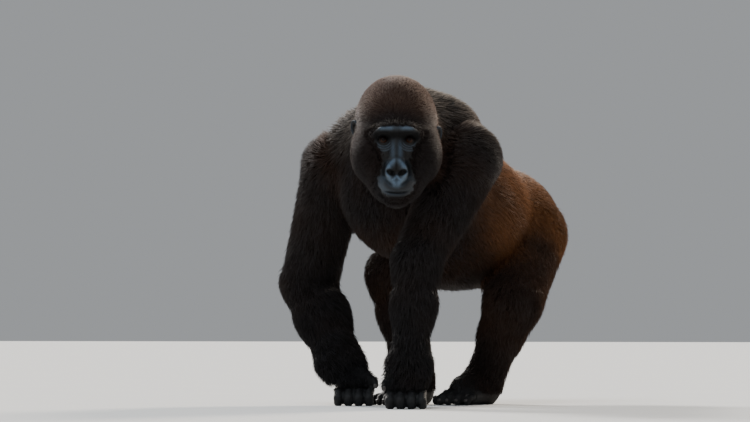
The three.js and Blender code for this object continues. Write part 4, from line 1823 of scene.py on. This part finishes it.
@dataclass
class Ears:
    """The two ears: small bare cups with a rolled rim, standing off from the head at the back."""

    half_width: float = 15.0
    half_height: float = 22.5
    rim: float = 4.4
    bowl: float = 6.2
    lip: float = 1.2  # how far the edge lies behind the ear's plane
    swell: float = 6.0  # of the back
    finish: SkinFinish = SkinFinish()

    def height(self, x: Array, y: Array, z: Array, front: float) -> Array:
        """How far out of the ear's plane the points of a unit ball come to lie.

        Args:
            x: The points' places across the ear.
            y: Their places up the ear.
            z: How far out they are on the ball.
            front: 1 or -1: the side of the ear that is nearer the face.

        Returns:
            The height of each, in millimetres.
        """
        r = np.hypot(x, y)
        ahead = x * front
        roll = self.rim * hump(r - 0.86, 0.17) * (1 - 0.6 * smooth(0.3, 0.8, ahead) * smooth(0.5, 0.0, y))
        inner = 2.4 * hump(np.hypot(x * 1.1 + 0.12 * front, y - 0.1) - 0.46, 0.1)
        inner = inner * smooth(-0.5, 0.2, y - 0.3 * x * front)
        flap = 5.0 * hump(np.hypot(x - 0.62 * front, y + 0.16), 0.2)
        hollow = self.bowl * (1 - smooth(0.18, 0.74, np.hypot(x - 0.1 * front, y + 0.05)))
        edge = smooth(0.0, 0.4, z)
        cup = (1.5 + roll + inner + flap - hollow) * edge - self.lip * (1 - edge)
        back = -self.lip - self.swell * np.sqrt(np.clip(1 - r * r, 0, 1))
        return np.where(z >= 0, cup, back)

    def mesh(self, side: Side) -> bpy.types.Mesh:
        """One ear, shaped from a ball.

        Args:
            side: The ear's side.

        Returns:
            The mesh.
        """
        bm = bmesh.new()
        bmesh.ops.create_uvsphere(bm, u_segments=64, v_segments=48, radius=1.0)
        x, y, z = np.array([v.co for v in bm.verts]).T
        high = self.height(x, y, z, -side.value)
        across = x * self.half_width * (1 + 0.16 * y)
        place = EAR[side]
        p = np.array(place.origin) + np.stack([across, high, y * self.half_height], axis=1) @ place.axes
        for v, co in zip(bm.verts, to_row(p)):
            v.co = co
        mesh = closed_mesh(bm, f"ear_shell_{side.word}")
        marks = {
            "bare": np.ones(len(x)), "brown": 0 * x, "red": 0 * x,
            # A painted highlight on the rim, and painted shade deeper in the cup.
            "polish": 0.22 * hump(np.hypot(x, y) - 0.88, 0.14) * (z > 0),
            "crease": np.clip((1.0 - high) / 5.5, 0, 0.9) * (z > 0),
        }
        for name, values in marks.items():
            add_attribute(mesh, name, values)
        return mesh

    def build(self) -> None:
        """Makes both ears and dresses them."""
        material = self.finish.material()
        for side in Side:
            place_piece(f"ear_shell_{side.word}", self.mesh(side), material, [f"ear_{side.word}"], "skin")


@dataclass
class Eyes:
    """The two eyeballs, each with a slight bulge over the iris."""

    radius: float = EYE_RADIUS - 0.1
    bulge: float = 1.1
    iris: float = 6.8
    finish: EyeFinish = EyeFinish()

    def mesh(self, side: Side) -> bpy.types.Mesh:
        """One eyeball, looking forward, darker at the top where the lid shades it.

        Args:
            side: The eye's side.

        Returns:
            The mesh.
        """
        bm = bmesh.new()
        bmesh.ops.create_uvsphere(bm, u_segments=40, v_segments=28, radius=self.radius)
        out, lidded = [], []
        for v in bm.verts:
            off = math.hypot(v.co.x, v.co.y)
            if v.co.z > 0 and off < self.iris:
                v.co.z += self.bulge * (1 - (off / self.iris) ** 2)
            out.append(math.acos(max(-1.0, min(1.0, v.co.z / v.co.length))) / (math.pi / 2))
            # Painted shadow of the lid, darkest at the top.
            lidded.append(max(0.0, min(1.0, (v.co.y + 0.5) / 3.5)))
        x, y, z = HEAD.axes
        where = HEAD.at(side.value * EYE_X, EYE_Y, EYE_Z) + ORIGIN_SHIFT
        rows = [[-x[i] * MM, z[i] * MM, y[i] * MM, where[i] * MM] for i in range(3)]
        bmesh.ops.transform(bm, matrix=Matrix([*rows, [0, 0, 0, 1]]), verts=bm.verts)
        mesh = closed_mesh(bm, f"eyeball_{side.word}")
        add_attribute(mesh, "out", np.array(out))
        add_attribute(mesh, "lidded", np.array(lidded))
        return mesh

    def build(self) -> None:
        """Makes both eyes and dresses them."""
        material = self.finish.material()
        for side in Side:
            place_piece(f"eyeball_{side.word}", self.mesh(side), material, [f"eye_{side.word}"], "eye")


@dataclass
class Nails:
    """The nails of the thumbs and toes: curved plates let into the tips."""

    body: Body
    nodes: list
    cuts: int = 5
    crown: float = 1.3
    edge_radius: float = 0.35
    finish: NailFinish = NailFinish()

    def mesh(self, node: str) -> bpy.types.Mesh:
        """One nail, curved across and along, from its plain plate.

        Args:
            node: The nail's node.

        Returns:
            The mesh.
        """
        bm = bmesh.new()
        bm.from_mesh(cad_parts[node].data)
        bmesh.ops.remove_doubles(bm, verts=bm.verts, dist=0.01 * MM)
        bmesh.ops.dissolve_limit(bm, angle_limit=math.radians(2), verts=bm.verts, edges=bm.edges)
        bm.verts.ensure_lookup_table()
        middle = sum((v.co for v in bm.verts), Vector()) / len(bm.verts)
        corner = bm.verts[0]
        arms = [e.other_vert(corner).co - corner.co for e in corner.link_edges]
        arms.sort(key=lambda a: a.length)
        thin, short, long = (a.normalized() for a in arms[:3])
        half = [a.length / 2 for a in arms[:3]]
        out = thin if thin.dot(middle - self.inside(middle)) > 0 else -thin
        bmesh.ops.subdivide_edges(bm, edges=bm.edges, cuts=self.cuts, use_grid_fill=True)
        for v in bm.verts:
            d = v.co - middle
            a, b = d.dot(short) / half[1], d.dot(long) / half[2]
            corner_in = 1 - 0.16 * (a * a * b * b)
            v.co = middle + d * corner_in + out * (self.crown * MM * (0.6 - 1.0 * a * a - 0.5 * b * b))
        sharp = [e for e in bm.edges if e.calc_face_angle(0) > 0.9]
        bmesh.ops.bevel(bm, geom=sharp, offset=self.edge_radius * MM, offset_type="OFFSET", segments=2,
                        profile=0.5, affect="EDGES", material=-1)
        return closed_mesh(bm, node)

    def inside(self, middle: Vector) -> Vector:
        """A point inside the digit that a nail's middle belongs to."""
        p = to_body(np.array([middle]))
        return Vector(to_row(p - self.body.slopes(p, 2.0) * 6)[0])

    def build(self) -> None:
        """Makes every nail and dresses it."""
        material = self.finish.material()
        for node in self.nodes:
            place_piece(node.replace("nail_", "horn_"), self.mesh(node), material, [node], "nail")


@dataclass
class Studio:
    """Camera, soft lights and a plain pale floor."""

    camera_at: tuple = (4.4965, -7.9947, 0.2)
    camera_turn: tuple = (92.15, 0.0, 30.0)
    lens: float = 156.5
    sensor: float = 36.0
    floor_half: float = 60.0
    world_colour: Colour = (0.80, 0.83, 0.86)
    world_strength: float = 0.42
    floor: FloorFinish = FloorFinish()

    def camera(self) -> None:
        """The camera, low and far off."""
        data = bpy.data.cameras.new("camera")
        data.lens, data.sensor_width, data.sensor_fit = self.lens, self.sensor, "HORIZONTAL"
        camera = bpy.data.objects.new("camera", data)
        camera.location = self.camera_at
        camera.rotation_euler = [math.radians(a) for a in self.camera_turn]
        bpy.context.scene.collection.objects.link(camera)
        bpy.context.scene.camera = camera

    def light(self, name: str, toward: Point, spread: float, power: float, colour: Colour) -> None:
        """A far, wide and even light.

        Args:
            name: Its name.
            toward: The way from the gorilla to the light.
            spread: How wide the light looks, in degrees: the wider, the softer its shadows.
            power: Its power, in watts for each square metre.
            colour: Its colour.
        """
        data = bpy.data.lights.new(name, "SUN")
        data.angle, data.energy, data.color = math.radians(spread), power, colour
        lamp = bpy.data.objects.new(name, data)
        lamp.rotation_euler = Vector(toward).to_track_quat("Z", "Y").to_euler()
        bpy.context.scene.collection.objects.link(lamp)

    def build(self) -> None:
        """Sets up the studio."""
        self.camera()
        self.light("sky", (0.0, -0.70, 1.0), 40.0, 1.6, (0.80, 0.90, 1.0))
        self.light("warm_side", (0.08, 0.88, 0.47), 16.0, 4.2, (1.0, 0.88, 0.74))
        self.light("rim", (-0.88, 0.44, 0.62), 14.0, 4.6, (1.0, 0.97, 0.93))
        world = bpy.data.worlds.new("studio")
        world.use_nodes = True
        around = world.node_tree.nodes["Background"]
        around.inputs[0].default_value = (*self.world_colour, 1.0)
        around.inputs[1].default_value = self.world_strength
        bpy.context.scene.world = world
        bm = bmesh.new()
        bmesh.ops.create_grid(bm, x_segments=2, y_segments=2, size=self.floor_half)
        mesh = bpy.data.meshes.new("floor")
        bm.to_mesh(mesh)
        bm.free()
        mesh.materials.append(self.floor.material())
        floor = bpy.data.objects.new("floor", mesh)
        bpy.context.scene.collection.objects.link(floor)
        floor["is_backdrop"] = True


def flesh_nodes() -> list:
    """The nodes that the skin stands for: all but the eyes, the ears and the nails."""
    return sorted(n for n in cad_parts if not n.startswith(("ear_", "eye_", "nail_")))


def main() -> None:
    """Builds the gorilla and its studio."""
    Studio().build()
    body = Body()
    coat = CoatMap(body)
    skin = Skin(body, coat, flesh_nodes()).build()
    Coat(body, coat, skin).build()
    Ears().build()
    Eyes().build()
    Nails(body, sorted(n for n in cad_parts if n.startswith("nail_"))).build()
    boxes = {"cad": CAD_BOX, "visual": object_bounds()}
    {k: [list(corner) for corner in box] for k, box in boxes.items()}


if __name__ == "__main__":
    main()
